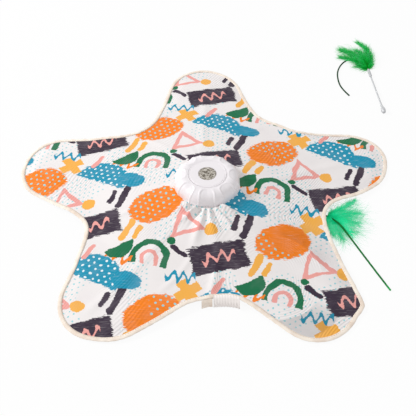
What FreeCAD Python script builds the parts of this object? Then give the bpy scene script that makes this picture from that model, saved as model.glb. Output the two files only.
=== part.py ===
# Interactive feather cat toy: a round motor base that stands under a star shaped cloth mat.
# A turning rotor carries a wand that sweeps under the mat, so that a feather and a cord tail
# peep out round the edge. A fluted flower cap clamps the mat to the hub and holds a catnip tablet.
# Millimetres, +Z up. The origin lies on the hub's axis, in the plane that the feet stand on.
# The -Y side faces the viewer, and one arm of the mat points along +Y.
import FreeCAD, Part
import math
import os
import Sketcher
from FreeCAD import Placement, Rotation, Vector

os.makedirs("parts", exist_ok=True)
doc = FreeCAD.newDocument("FeatherToy")

# Driving dimensions, in millimetres, degrees and plain counts
SIZES = {
    # base housing
    "foot_height": 2.0, "foot_recess": 0.8, "foot_radius": 6.0, "foot_circle": 39.0, "foot_angle": 30.0,
    "middle_foot": 3.0,
    "base_radius": 50.0, "base_bevel": 3.0, "housing_wall": 2.2, "floor_wall": 2.6, "tub_height": 21.4,
    "post_radius": 3.2, "post_circle": 43.0, "post_angle": 32.0, "pilot_radius": 1.1,
    # deck, column and rotor
    "deck_thickness": 1.6, "column_radius": 13.0, "column_wall": 3.0, "running_fit": 0.05,
    "running_gap": 0.6, "flange_thickness": 0.6, "flange_width": 4.5, "bush_wall": 2.0, "hub_wall": 4.0,
    "web_lift": 5.6, "web_thickness": 2.0, "rotor_radius": 52.0, "skirt_wall": 2.2, "rotor_rib_count": 6,
    # carrier, cap, lid and tablet
    "carrier_radius": 53.0, "carrier_thickness": 2.0, "carrier_lift": 1.6, "cap_radius": 56.0,
    "cap_height": 22.3, "cap_skirt": 1.5, "dome_top": 36.6, "cap_wall": 2.6, "petal_count": 8,
    "flute_depth": 1.2, "flute_width": 19.0, "flute_top_width": 9.0, "flute_top": 38.5, "scallop_depth": 1.6,
    "seam_height": 0.5, "seam_width": 1.4, "seam_start": 40.0,
    "lid_radius": 31.6, "lid_thickness": 2.2, "lid_gap": 0.5, "ring_groove": 0.8, "ring_offset": 2.2,
    "tablet_radius": 15.0, "tablet_crown": 0.9, "tablet_gap": 0.3, "hook_circle": 41.0, "hook_width": 9.0,
    "hook_wall": 2.0, "hook_barb": 1.0, "hook_gap": 0.25,
    # mat
    "star_reach": 337.0, "tip_radius": 70.5, "notch_reach": 206.0, "notch_radius": 83.0,
    "cloth": 0.45, "ply_gap": 0.05, "bore_hem": 45.0, "binding_width": 5.0, "binding_wall": 0.45,
    "mat_brow_level": 21.0, "mat_brow_reach": 140.0, "mat_notch_level": 11.0, "mat_arm_level": 6.0,
    "mat_tip_length": 19.0,
    # wand
    "wand_angle": -14.0, "wand_tilt": 8.4, "wand_start": 53.0, "wand_level": 27.2,
    "plug_length": 22.0, "plug_radius": 4.75, "rod_radius": 1.6, "rod_length": 92.0,
    "sleeve_length": 23.0, "sleeve_radius": 3.0, "sleeve_wall": 1.3, "socket_wall": 1.7,
    "socket_length": 24.5, "grommet_length": 5.0, "grommet_radius": 2.4, "fan_reach": 100.0,
    "fan_spread": 112.0, "fan_thickness": 4.2, "hump_radius": 30.0, "plume_count": 6, "fan_turn": -15.0,
    "tail_diameter": 3.0, "wand_first_run": 34.0, "spare_first_run": 26.0,
    # gears
    "gear_module": 0.8, "gear_face": 2.0, "ring_teeth": 80, "output_teeth": 12, "wheel_teeth": 36,
    "pinion_teeth": 10, "backlash": 0.16, "output_angle": 60.0, "compound_angle": 175.0,
    "motor_angle": 190.0, "ring_face": 4.4, "ring_wall": 3.4, "output_level": 14.7, "compound_level": 18.7,
    "gear_boss": 7.0, "shaft_radius": 1.5, "pin_radius": 1.0,
    # motor, board and switch
    "motor_radius": 6.0, "motor_flat": 10.0, "motor_length": 14.4, "motor_shaft_radius": 0.5,
    "board_x": 29.3, "board_y": 9.2, "board_length": 21.5, "board_width": 16.5, "board_level": 5.0,
    "board_thickness": 1.2, "switch_length": 9.0, "switch_width": 4.4, "switch_travel": 4.0,
    "knob_size": 2.0, "knob_proud": 1.0,
    # cells and door
    "cell_radius": 5.25, "cell_length": 43.5, "cell_nub": 1.0, "cell_pitch": 10.8, "cell_count": 3,
    "cell_lift": 0.9, "bay_length": 52.0, "bay_y": -20.6, "bay_margin": 0.6, "bay_wall": 1.2,
    "bay_height": 11.8, "contact_sheet": 0.4, "door_gap": 0.25, "door_thickness": 1.8, "door_tongue": 0.9,
    "door_lip": 0.8, "screw_head": 2.2, "screw_shank": 1.0, "screw_length": 7.0, "lead_width": 2.6,
    "lead_thickness": 1.1,
    # spare wand, beside the mat
    "spare_x": 343.0, "spare_y": 213.0, "spare_angle": 93.0, "spare_fan_turn": 26.0,
}

# Routes of the two tails, from the sleeve's end: along the wand, to its left, and height above the floor.
# The first run, which comes before these points, goes straight on from the sleeve.
TAIL_ROUTE = [(64.2, -39.7, 1.6), (96.6, -86.6, 1.6), (129.0, -128.8, 1.6)]
SPARE_TAIL_ROUTE = [
    (44.6, 19.7, 1.6), (30.9, 45.9, 1.6), (2.3, 63.5, 1.6),
    (-29.5, 68.1, 1.6), (-56.6, 65.6, 1.6), (-77.8, 55.0, 1.6),
]

sheet = doc.addObject("Spreadsheet::Sheet", "Sizes")
for row, (alias, value) in enumerate(SIZES.items(), start=1):
    sheet.set(f"A{row}", alias)
    sheet.set(f"B{row}", str(value))
    sheet.setAlias(f"B{row}", alias)
doc.recompute()

nodes = {}


# Rules are texts such as "@base_radius - 2", where @ marks a named size of the sheet
def rule(text):
    return str(text).replace("@", "Sizes.")


def size(text):
    return float(sheet.evalExpression(rule(text)))


def bind(thing, **rules):
    for name, text in rules.items():
        thing.setExpression(name.replace("__", "."), rule(text))
    return thing


def place(thing, x=0, y=0, z=0, turn=0):
    rules = {"Placement__Base__x": x, "Placement__Base__y": y, "Placement__Base__z": z}
    bind(thing, **rules)
    if turn != 0:
        bind(thing, Placement__Rotation__Angle=turn)
    return thing


def polar(radius, angle):
    return f"({radius}) * cos({angle})", f"({radius}) * sin({angle})"


def keep(thing, node):
    thing.Label = node
    nodes[node] = thing
    return thing


def cylinder(name, radius, height, x=0, y=0, z=0):
    thing = doc.addObject("Part::Cylinder", name)
    return place(bind(thing, Radius=radius, Height=height), x, y, z)


def box(name, length, width, height, x=0, y=0, z=0):
    """A block whose x and y are its middle, and whose z is its underside."""
    thing = doc.addObject("Part::Box", name)
    bind(thing, Length=length, Width=width, Height=height)
    return place(thing, f"({x}) - ({length}) / 2", f"({y}) - ({width}) / 2", z)


def turned_box(name, length, width, height, x, y, z, angle):
    """A block turned about Z, whose x, y and z are the middle of its underside."""
    thing = box(name + "_block", length, width, height)
    group = doc.addObject("Part::Compound", name)
    group.Links = [thing]
    return place(group, x, y, z, angle)


def cut(name, base, *tools):
    thing = doc.addObject("Part::Cut", name)
    thing.Base = base
    thing.Tool = tools[0] if len(tools) == 1 else fuse(name + "_tools", *tools)
    thing.Refine = True
    return thing


def fuse(name, *shapes):
    thing = doc.addObject("Part::MultiFuse", name)
    thing.Shapes = list(shapes)
    thing.Refine = True
    return thing


def common(name, *shapes):
    thing = doc.addObject("Part::MultiCommon", name)
    thing.Shapes = list(shapes)
    return thing


def group(name, *pieces):
    thing = doc.addObject("Part::Compound", name)
    thing.Links = list(pieces)
    return thing


def origin_plane(body, role):
    return [feature for feature in body.Origin.OriginFeatures if feature.Role == role][0]


def middle_of_arc(start, end, radius, side):
    """A point half way along an arc that bulges to the left of its travel when side is 1."""
    across = end - start
    half = across.Length / 2
    rise = radius - math.sqrt(max(radius * radius - half * half, 0))
    left = Vector(-across.y, across.x, 0).normalize()
    return (start + end) / 2 + left * rise * side


def outline(sketch, points):
    """Draws a closed outline. A point is (x, y), or (x, y, radius, side) where an arc leads to it."""
    corners = [Vector(size(point[0]), size(point[1]), 0) for point in points]
    count = len(points)
    starts = []
    for index in range(count):
        start, end, goal = corners[index - 1], corners[index], points[index]
        if len(goal) == 2:
            edge = Part.LineSegment(start, end)
        else:
            edge = Part.Arc(start, middle_of_arc(start, end, size(goal[2]), goal[3]), end)
        made = sketch.addGeometry(edge, False)
        forward = (sketch.getPoint(made, 1) - start).Length < 1e-6
        starts.append((made, 1, 2) if forward else (made, 2, 1))
    for index in range(count):
        edge, _, last = starts[index]
        following, first, _ = starts[(index + 1) % count]
        sketch.addConstraint(Sketcher.Constraint("Coincident", edge, last, following, first))
        for kind, place_at, text in (
            ("DistanceX", corners[index].x, points[index][0]),
            ("DistanceY", corners[index].y, points[index][1]),
        ):
            made = sketch.addConstraint(Sketcher.Constraint(kind, -1, 1, edge, last, place_at))
            sketch.setExpression(f"Constraints[{made}]", rule(text))
        if len(points[index]) > 2:
            made = sketch.addConstraint(Sketcher.Constraint("Radius", edge, size(points[index][2])))
            sketch.setExpression(f"Constraints[{made}]", rule(points[index][2]))


def body_sketch(name, role, points):
    body = doc.addObject("PartDesign::Body", name)
    sketch = body.newObject("Sketcher::SketchObject", name + "_sketch")
    sketch.AttachmentSupport = [(origin_plane(body, role), "")]
    sketch.MapMode = "FlatFace"
    outline(sketch, points)
    return body, sketch


def turned(name, points):
    """A body turned about Z from a section given as radius and level."""
    body, sketch = body_sketch(name, "XZ_Plane", points)
    turn = body.newObject("PartDesign::Revolution", name + "_turn")
    turn.Profile = sketch
    turn.ReferenceAxis = (sketch, ["V_Axis"])
    turn.Angle = 360
    return body


def plate(name, points, thickness, z=0):
    """A body padded up from an outline at a level."""
    body, sketch = body_sketch(name, "XY_Plane", points)
    pad = body.newObject("PartDesign::Pad", name + "_pad")
    pad.Profile = sketch
    bind(pad, Length=thickness)
    return place(body, z=z)


def sleeve(name, inner, outer, height, z):
    """A plain ring about Z."""
    top = f"({z}) + ({height})"
    return turned(name, [(inner, z), (outer, z), (outer, top), (inner, top)])


def round_ring(name, radius, count, make, start=0):
    """Copies of a piece spaced evenly on a circle: make(name, x, y, angle) gives each."""
    pieces = []
    for index in range(count):
        angle = f"({start}) + {360 / count * index}"
        x, y = polar(radius, angle)
        pieces.append(make(f"{name}_{index + 1}", x, y, angle))
    return pieces


def feature(name, shape, placement=None):
    thing = doc.addObject("Part::Feature", name)
    thing.Shape = shape
    if placement:
        thing.Placement = placement
    return thing


# Levels that follow from the sizes, from the floor upwards
UNDERSIDE = "@foot_height"
FLOOR_TOP = "(@foot_height + @floor_wall)"
DECK_UNDER = "(@foot_height + @tub_height)"
DECK_TOP = f"({DECK_UNDER} + @deck_thickness)"
FLANGE_UNDER = f"({DECK_TOP} + 0.1)"
FLANGE_TOP = f"({FLANGE_UNDER} + @flange_thickness)"
WEB_UNDER = f"({DECK_TOP} + @web_lift)"
WEB_TOP = f"({WEB_UNDER} + @web_thickness)"
CARRIER_UNDER = f"({WEB_TOP} + @carrier_lift)"
CARRIER_TOP = f"({CARRIER_UNDER} + @carrier_thickness)"
MAT_TOP = f"({CARRIER_TOP} + 2 * @cloth + 2 * @ply_gap)"
CAP_TOP = f"({MAT_TOP} + @cap_height)"
LID_UNDER = f"({CAP_TOP} - @lid_thickness)"
TUB_INSIDE = "(@base_radius - @housing_wall)"

# Centres of the gear train, from the ring's own centre outwards
OUTPUT_X, OUTPUT_Y = polar("(@ring_teeth - @output_teeth) * @gear_module / 2", "@output_angle")
STAGE = "(@wheel_teeth + @pinion_teeth) * @gear_module / 2"
STEP_X, STEP_Y = polar(STAGE, "@compound_angle")
COMPOUND_X, COMPOUND_Y = f"({OUTPUT_X} + {STEP_X})", f"({OUTPUT_Y} + {STEP_Y})"
STEP_X, STEP_Y = polar(STAGE, "@motor_angle")
MOTOR_X, MOTOR_Y = f"({COMPOUND_X} + {STEP_X})", f"({COMPOUND_Y} + {STEP_Y})"
BAY_WIDTH = "(@cell_count * @cell_pitch + 2 * @bay_margin)"
BAY_NEAR = f"(@bay_y + {BAY_WIDTH} / 2)"
POST_ANGLES = ["@post_angle", "180 - @post_angle", "180 + @post_angle", "-@post_angle"]
FOOT_ANGLES = ["@foot_angle", "180 - @foot_angle", "180 + @foot_angle", "-@foot_angle"]


def posts(name, circle, radius, height, z, angles=POST_ANGLES):
    made = []
    for index, angle in enumerate(angles, start=1):
        x, y = polar(circle, angle)
        made.append(cylinder(f"{name}_{index}", radius, height, x, y, z))
    return made


def rubber_feet():
    feet = posts("foot", "@foot_circle", "@foot_radius", "@foot_height + @foot_recess", "0",
                 FOOT_ANGLES)
    feet.append(cylinder("foot_middle", "@middle_foot", "@foot_height + @foot_recess"))
    keep(group("feet", *feet), "rubber_feet")


BASE_SIDE = [
    ("0", UNDERSIDE), ("@base_radius - @base_bevel", UNDERSIDE),
    ("@base_radius", f"{UNDERSIDE} + @base_bevel"), ("@base_radius", DECK_UNDER),
]


def channel(name, half_width, z, top, near):
    """A block that runs out from the cell bay to beyond the rim."""
    reach = f"({near} + @base_radius + 2)"
    return box(name, f"2 * ({half_width})", reach, f"({top}) - ({z})", 0, f"{near} - {reach} / 2", z)


def base_housing():
    tub = turned("tub", BASE_SIDE + [
        (TUB_INSIDE, DECK_UNDER), (TUB_INSIDE, f"{FLOOR_TOP} + 1"), (f"{TUB_INSIDE} - 1", FLOOR_TOP),
        ("0", FLOOR_TOP),
    ])
    post_height = f"{DECK_UNDER} - {FLOOR_TOP}"
    solids = [tub] + posts("post", "@post_circle", "@post_radius", post_height, FLOOR_TOP)
    outer = f"@bay_length + 2 * @bay_wall", f"{BAY_WIDTH} + 2 * @bay_wall"
    solids.append(box("bay_outer", *outer, "@bay_height + @bay_wall", 0, "@bay_y", FLOOR_TOP))
    solids.append(cylinder("output_boss", "@shaft_radius + 2", "@gear_boss",
                           OUTPUT_X, OUTPUT_Y, FLOOR_TOP))
    solids.append(cylinder("compound_boss", "@pin_radius + 2", "@gear_boss",
                           COMPOUND_X, COMPOUND_Y, FLOOR_TOP))
    cradle = "2 * @motor_radius + 3", "@motor_flat + 3"
    solids.append(box("cradle_outer", *cradle, "6", MOTOR_X, MOTOR_Y, FLOOR_TOP))
    for index, side in enumerate((-1, 1), start=1):
        x = f"@board_x + {side} * (@board_length / 2 - 2)"
        y = "@board_y - @board_width / 2 + 2"
        solids.append(cylinder(f"board_post_{index}", "1.5", f"@board_level - @floor_wall", x, y, FLOOR_TOP))
    whole = fuse("housing_whole", *solids)
    bay = box("bay_inner", "@bay_length", BAY_WIDTH, "@floor_wall + @bay_height", 0, "@bay_y", UNDERSIDE)
    # the door slides in a channel that runs out through the rim, under a thin skin of floor
    lip_top = f"({UNDERSIDE} + @door_lip)"
    groove_top = f"({UNDERSIDE} + @door_thickness + 0.1)"
    lips = channel("door_channel", "@bay_length / 2", UNDERSIDE, groove_top, BAY_NEAR)
    groove_half = "@bay_length / 2 + @door_tongue + @door_gap"
    grooves = channel("door_groove", groove_half, lip_top, groove_top, BAY_NEAR)
    hole_depth = "@gear_boss - 1"
    tools = [bay, lips, grooves]
    tools.append(cylinder("output_hole", "@shaft_radius + @running_fit", hole_depth,
                          OUTPUT_X, OUTPUT_Y, f"{FLOOR_TOP} + 1"))
    tools.append(cylinder("compound_hole", "@pin_radius", hole_depth,
                          COMPOUND_X, COMPOUND_Y, f"{FLOOR_TOP} + 1"))
    tools.append(box("cradle_inner", "2 * @motor_radius + 0.2", "@motor_flat + 0.2", "6",
                     MOTOR_X, MOTOR_Y, f"{FLOOR_TOP}"))
    tools.append(box("knob_slot", "@switch_travel + @knob_size + 0.8", "@knob_size + 0.8", "@floor_wall",
                     "@board_x", "@board_y", UNDERSIDE))
    tools.append(box("finger_recess", "@switch_travel + @knob_size + 4", "@knob_size + 4", "0.8",
                     "@board_x", "@board_y", UNDERSIDE))
    tools += posts("foot_seat", "@foot_circle", "@foot_radius", "@foot_recess", UNDERSIDE, FOOT_ANGLES)
    tools.append(cylinder("foot_seat_middle", "@middle_foot", "@foot_recess", z=UNDERSIDE))
    tools += posts("pilot", "@post_circle", "@pilot_radius", "8", f"{DECK_UNDER} - 8")
    keep(cut("housing", whole, *tools), "base_housing")


def gear_deck():
    disc = cylinder("deck_disc", "@base_radius", "@deck_thickness", z=DECK_UNDER)
    column = sleeve("column", "@column_radius - @column_wall", "@column_radius",
                    f"{CARRIER_UNDER} - {DECK_TOP}", DECK_TOP)
    pillars = round_ring("pillar", "@column_radius - @column_wall - 2.2", 3,
                         lambda name, x, y, angle: cylinder(
                             name, "2.6", f"{CARRIER_UNDER} - {DECK_TOP}", x, y, DECK_TOP), start=90)
    whole = fuse("deck_whole", disc, column, *pillars)
    tools = [
        cylinder("deck_shaft_hole", "@shaft_radius + @running_fit", "@deck_thickness", OUTPUT_X, OUTPUT_Y,
                 DECK_UNDER),
        cylinder("deck_pin_hole", "@pin_radius", "@deck_thickness / 2", COMPOUND_X, COMPOUND_Y, DECK_UNDER),
        *posts("deck_screw_hole", "@post_circle", "@pilot_radius", "@deck_thickness", DECK_UNDER),
        *round_ring("pillar_pilot", "@column_radius - @column_wall - 2.2", 3,
                    lambda name, x, y, angle: cylinder(
                        name, "@pilot_radius", "7", x, y, f"{CARRIER_UNDER} - 7"), start=90),
    ]
    keep(cut("deck", whole, *tools), "gear_deck")


def pan_screw(name, x, y, seat, length):
    """A pan head screw that points down from the level of its seat."""
    head = cylinder(name + "_head", "@screw_head", "1.4", x, y, seat)
    shank = cylinder(name + "_shank", "@screw_shank", length, x, y, f"({seat}) - ({length})")
    return fuse(name, head, shank)


def fixing_screws():
    screws = []
    for index, angle in enumerate(POST_ANGLES, start=1):
        x, y = polar("@post_circle", angle)
        screws.append(pan_screw(f"deck_screw_{index}", x, y, DECK_TOP, "@screw_length"))
    keep(group("deck_fixings", *screws), "deck_screws")
    screws = round_ring("carrier_screw", "@column_radius - @column_wall - 2.2", 3,
                        lambda name, x, y, angle: pan_screw(
                            name, x, y, CARRIER_TOP, "@screw_length"), start=90)
    keep(group("carrier_fixings", *screws), "carrier_screws")


BUSH_OUTER = "(@column_radius + @running_fit + @bush_wall)"
HUB_UNDER = FLANGE_TOP
HUB_TOP = f"({CARRIER_UNDER} - @running_gap)"
# The wand's axis, from its start outwards, in the upright plane of the wand
PLUG_BORE = "(@plug_radius + 0.15)"
SOCKET_RADIUS = f"({PLUG_BORE} + @socket_wall)"


def wand_placement():
    """Local X runs out along the wand, from the blind end of its plug."""
    angle, tilt = size("@wand_angle"), size("@wand_tilt")
    start = size("@wand_start")
    turn = Rotation(Vector(0, 0, 1), angle).multiply(Rotation(Vector(0, 1, 0), tilt))
    base = Vector(start * math.cos(math.radians(angle)), start * math.sin(math.radians(angle)),
                  size("@wand_level"))
    return Placement(base, turn)


def along_wand(thing):
    """Places a piece that is drawn along +Z on the wand's axis."""
    thing.Placement = wand_placement().multiply(Placement(Vector(), Rotation(Vector(0, 1, 0), 90)))
    return thing


def rotor():
    skirt_under = f"{FLANGE_TOP} + @running_gap"
    hub_outer = f"{BUSH_OUTER} + @hub_wall"
    disc = turned("rotor_turned", [
        (BUSH_OUTER, HUB_UNDER), (hub_outer, HUB_UNDER), (hub_outer, WEB_UNDER),
        ("@rotor_radius - @skirt_wall", WEB_UNDER), ("@rotor_radius - @skirt_wall", skirt_under),
        ("@rotor_radius", skirt_under), ("@rotor_radius", WEB_TOP), (hub_outer, WEB_TOP),
        (hub_outer, HUB_TOP), (BUSH_OUTER, HUB_TOP),
    ])
    inner = "(@ring_teeth * @gear_module / 2 + @ring_wall + 1)"
    outer = "(@rotor_radius - @skirt_wall + 0.5)"
    ribs = round_ring("rotor_rib", f"({inner} + {outer}) / 2", int(size("@rotor_rib_count")),
                      lambda name, x, y, angle: turned_box(
                          name, f"{outer} - {inner}", "1.4", "2.6", x, y, f"{WEB_UNDER} - 2.6", angle),
                      start="@wand_angle + 30")
    socket = along_wand(feature("socket_tube", Part.makeCylinder(
        size(SOCKET_RADIUS), size("@socket_length"), Vector(0, 0, -1.2))))
    gusset = turned_box("socket_gusset", "14", "2.2", "7", *polar("@rotor_radius + 5", "@wand_angle"),
                        f"{WEB_TOP} - 7", "@wand_angle")
    clear = cylinder("base_clearance", "@base_radius + @running_gap", "30",
                     z=f"{FLANGE_TOP} + @running_gap - 30")
    bore = along_wand(feature("socket_bore", Part.makeCylinder(size(PLUG_BORE), size("@socket_length"))))
    whole = fuse("rotor_whole", disc, socket, gusset, *ribs)
    keep(cut("rotor_cut", whole, clear, bore), "rotor_disc")
    # flanged bush: it turns on the column, and its flange rides on the deck
    inner, flange = "@column_radius + @running_fit", "@column_radius + @flange_width"
    keep(turned("bush", [
        (inner, FLANGE_UNDER), (flange, FLANGE_UNDER), (flange, FLANGE_TOP), (BUSH_OUTER, FLANGE_TOP),
        (BUSH_OUTER, HUB_TOP), (inner, HUB_TOP),
    ]), "rotor_bush")


def on_circle(radius, angle, z=0.0):
    return Vector(radius * math.cos(angle), radius * math.sin(angle), z)


def gear_wire(teeth, addendum, dedendum, thinning, phase, steps):
    """A closed outline of involute teeth of 20 degrees, with one tooth's middle at the phase angle.
    Each flank follows the involute in a number of short straight steps."""
    module = size("@gear_module")
    pitch = teeth * module / 2
    pressure = math.radians(20)
    base = pitch * math.cos(pressure)
    tip, root = pitch + addendum, pitch - dedendum
    low = max(base, root)

    def half_angle(radius):
        there = math.acos(min(base / radius, 1))
        spread = math.tan(pressure) - pressure - (math.tan(there) - there)
        return math.pi / (2 * teeth) - thinning / (2 * pitch) + spread

    flank = [(low + (tip - low) * step / steps) for step in range(steps + 1)]
    half = [(radius, half_angle(radius)) for radius in flank]
    if low > root + 1e-6:
        half.insert(0, (root, half_angle(low)))
    corners = []
    for index in range(teeth):
        middle = math.radians(phase) + 2 * math.pi * index / teeth
        corners += [on_circle(radius, middle - turn) for radius, turn in half]
        corners += [on_circle(radius, middle + turn) for radius, turn in reversed(half)]
    return Part.makePolygon(corners + corners[:1])


def toothed(name, teeth, face, bore, phase, x, y, z, addendum=0.72, dedendum=0.98, steps=2):
    """An external gear with a bore, its underside at z."""
    teeth = int(size(teeth))
    wire = gear_wire(teeth, addendum, dedendum, size("@backlash") / 2, phase, steps)
    solid = Part.Face(wire).extrude(Vector(0, 0, size(face)))
    solid = solid.cut(Part.makeCylinder(size(bore), size(face)))
    return feature(name, solid, Placement(Vector(size(x), size(y), size(z)), Rotation()))


def gear_train():
    output_angle, compound_angle = size("@output_angle"), size("@compound_angle")
    motor_angle = size("@motor_angle")
    ring_teeth, wheel_teeth = int(size("@ring_teeth")), int(size("@wheel_teeth"))
    pinion_teeth = int(size("@pinion_teeth"))
    # ring gear with teeth on the inside, hung under the rotor's web
    space = Part.Face(gear_wire(ring_teeth, 1.0, 0.6, -size("@backlash") / 2, output_angle, 1))
    outer = ring_teeth * size("@gear_module") / 2 + size("@ring_wall")
    face = size("@ring_face")
    ring = Part.makeCylinder(outer, face).cut(space.extrude(Vector(0, 0, face)))
    level = Vector(0, 0, size(WEB_UNDER) - face)
    keep(feature("ring", ring, Placement(level, Rotation())), "ring_gear")
    # output shaft: its wheel turns under the deck, and its pinion above it drives the ring
    shaft_under = f"{FLOOR_TOP} + 1.1"
    shaft = cylinder("shaft", "@shaft_radius", f"{WEB_UNDER} - 0.3 - ({shaft_under})", OUTPUT_X, OUTPUT_Y,
                     shaft_under)
    keep(shaft, "output_shaft")
    output_pinion = toothed("output_teeth_solid", "@output_teeth", "@ring_face + 0.3", "@shaft_radius",
                            output_angle, OUTPUT_X, OUTPUT_Y, f"{DECK_TOP} + 0.3")
    keep(output_pinion, "output_pinion")
    wheel_level = f"{UNDERSIDE} + @output_level"
    boss_top = f"{FLOOR_TOP} + @gear_boss"
    wheel_phase = compound_angle + 180 / wheel_teeth
    output_wheel = toothed("output_wheel_teeth", "@wheel_teeth", "@gear_face", "@shaft_radius", wheel_phase,
                           OUTPUT_X, OUTPUT_Y, wheel_level)
    height = f"{wheel_level} - ({boss_top}) - 0.1"
    hub = cut("output_hub", cylinder("output_hub_outer", "@shaft_radius + 1.4", height, OUTPUT_X, OUTPUT_Y,
                                     f"{boss_top} + 0.1"),
              cylinder("output_hub_bore", "@shaft_radius", height, OUTPUT_X, OUTPUT_Y, f"{boss_top} + 0.1"))
    keep(fuse("output_wheel_whole", output_wheel, hub), "output_wheel")
    # compound gear: a wheel and a pinion moulded in one, free on a steel pin
    compound_level = f"{UNDERSIDE} + @compound_level"
    bore = "@pin_radius + @running_fit"
    wheel = toothed("compound_wheel", "@wheel_teeth", "@gear_face", bore, motor_angle + 180 / wheel_teeth,
                    COMPOUND_X, COMPOUND_Y, compound_level)
    low = f"{wheel_level} - 0.5"
    pinion = toothed("compound_pinion", "@pinion_teeth", f"{compound_level} - ({low})", bore,
                     compound_angle + 180, COMPOUND_X, COMPOUND_Y, low)
    height = f"{low} - ({boss_top}) - 0.1"
    hub = cut("compound_hub", cylinder("compound_hub_outer", "@pin_radius + 1.4", height, COMPOUND_X,
                                       COMPOUND_Y, f"{boss_top} + 0.1"),
              cylinder("compound_hub_bore", bore, height, COMPOUND_X, COMPOUND_Y, f"{boss_top} + 0.1"))
    keep(fuse("compound_whole", wheel, pinion, hub), "compound_gear")
    pin = cylinder("pin", "@pin_radius", f"{DECK_UNDER} + @deck_thickness / 2 - {FLOOR_TOP} - 1", COMPOUND_X,
                   COMPOUND_Y, f"{FLOOR_TOP} + 1")
    keep(pin, "gear_pin")
    # motor, its shaft and the brass pinion pressed on it
    motor_z = f"{FLOOR_TOP} + 0.6"
    can = common("motor_round", cylinder("motor_barrel", "@motor_radius", "@motor_length", MOTOR_X, MOTOR_Y,
                                         motor_z),
                 box("motor_flats", "2 * @motor_radius", "@motor_flat", "@motor_length", MOTOR_X, MOTOR_Y,
                     motor_z))
    nose = cylinder("motor_nose", "2", "0.6", MOTOR_X, MOTOR_Y, f"{motor_z} + @motor_length")
    pad_foot = box("motor_foot", "4", "6", "0.6", MOTOR_X, MOTOR_Y, FLOOR_TOP)
    bore = cylinder("motor_bore", "@motor_shaft_radius + @running_fit", "6", MOTOR_X, MOTOR_Y,
                    f"{motor_z} + @motor_length + 0.6 - 6")
    keep(cut("motor_can_whole", fuse("motor_body", can, nose, pad_foot), bore), "motor")
    pinion_z = f"{compound_level} - 0.2"
    spindle = cylinder("spindle", "@motor_shaft_radius", f"{pinion_z} + @gear_face + 0.4 - ({motor_z}) - "
                       "@motor_length + 5", MOTOR_X, MOTOR_Y, f"{motor_z} + @motor_length - 5")
    keep(spindle, "motor_shaft")
    pinion = toothed("motor_pinion_solid", "@pinion_teeth", "@gear_face + 0.4", "@motor_shaft_radius",
                     motor_angle + 180 + 360 / pinion_teeth / 2 * (pinion_teeth % 2), MOTOR_X, MOTOR_Y, pinion_z)
    keep(pinion, "motor_pinion")


def board_and_switch():
    board_z = f"{UNDERSIDE} + @board_level"
    board = box("board", "@board_length", "@board_width", "@board_thickness", "@board_x", "@board_y", board_z)
    keep(board, "circuit_board")
    board_top = f"{board_z} + @board_thickness"
    chip = box("chip", "5", "4", "1.5", "@board_x + 3", "@board_y + 2", board_top)
    capacitor = cylinder("capacitor", "2", "5", "@board_x - 5", "@board_y + 4", board_top)
    terminal = box("terminal", "7", "3", "2.4", "@board_x - 5", "@board_y - 4", board_top)
    keep(group("board_parts_group", chip, capacitor, terminal), "board_components")
    flange_top = f"({FLOOR_TOP} + 0.6)"
    body = box("switch_block", "@switch_length", "@switch_width", f"{board_z} - {flange_top} - 0.1",
               "@board_x", "@board_y", f"{flange_top} + 0.1")
    keep(body, "switch_body")
    off_x = "(@board_x - @switch_travel / 2)"
    knob = box("knob", "@knob_size", "@knob_size", f"{flange_top} - {UNDERSIDE} + @knob_proud", off_x,
               "@board_y", f"{UNDERSIDE} - @knob_proud")
    flange = box("knob_flange", "@knob_size + 2", "@knob_size + 1.6", f"{flange_top} - {FLOOR_TOP} - 0.1",
                 off_x, "@board_y", f"{FLOOR_TOP} + 0.1")
    keep(fuse("knob_whole", knob, flange), "switch_knob")


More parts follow.
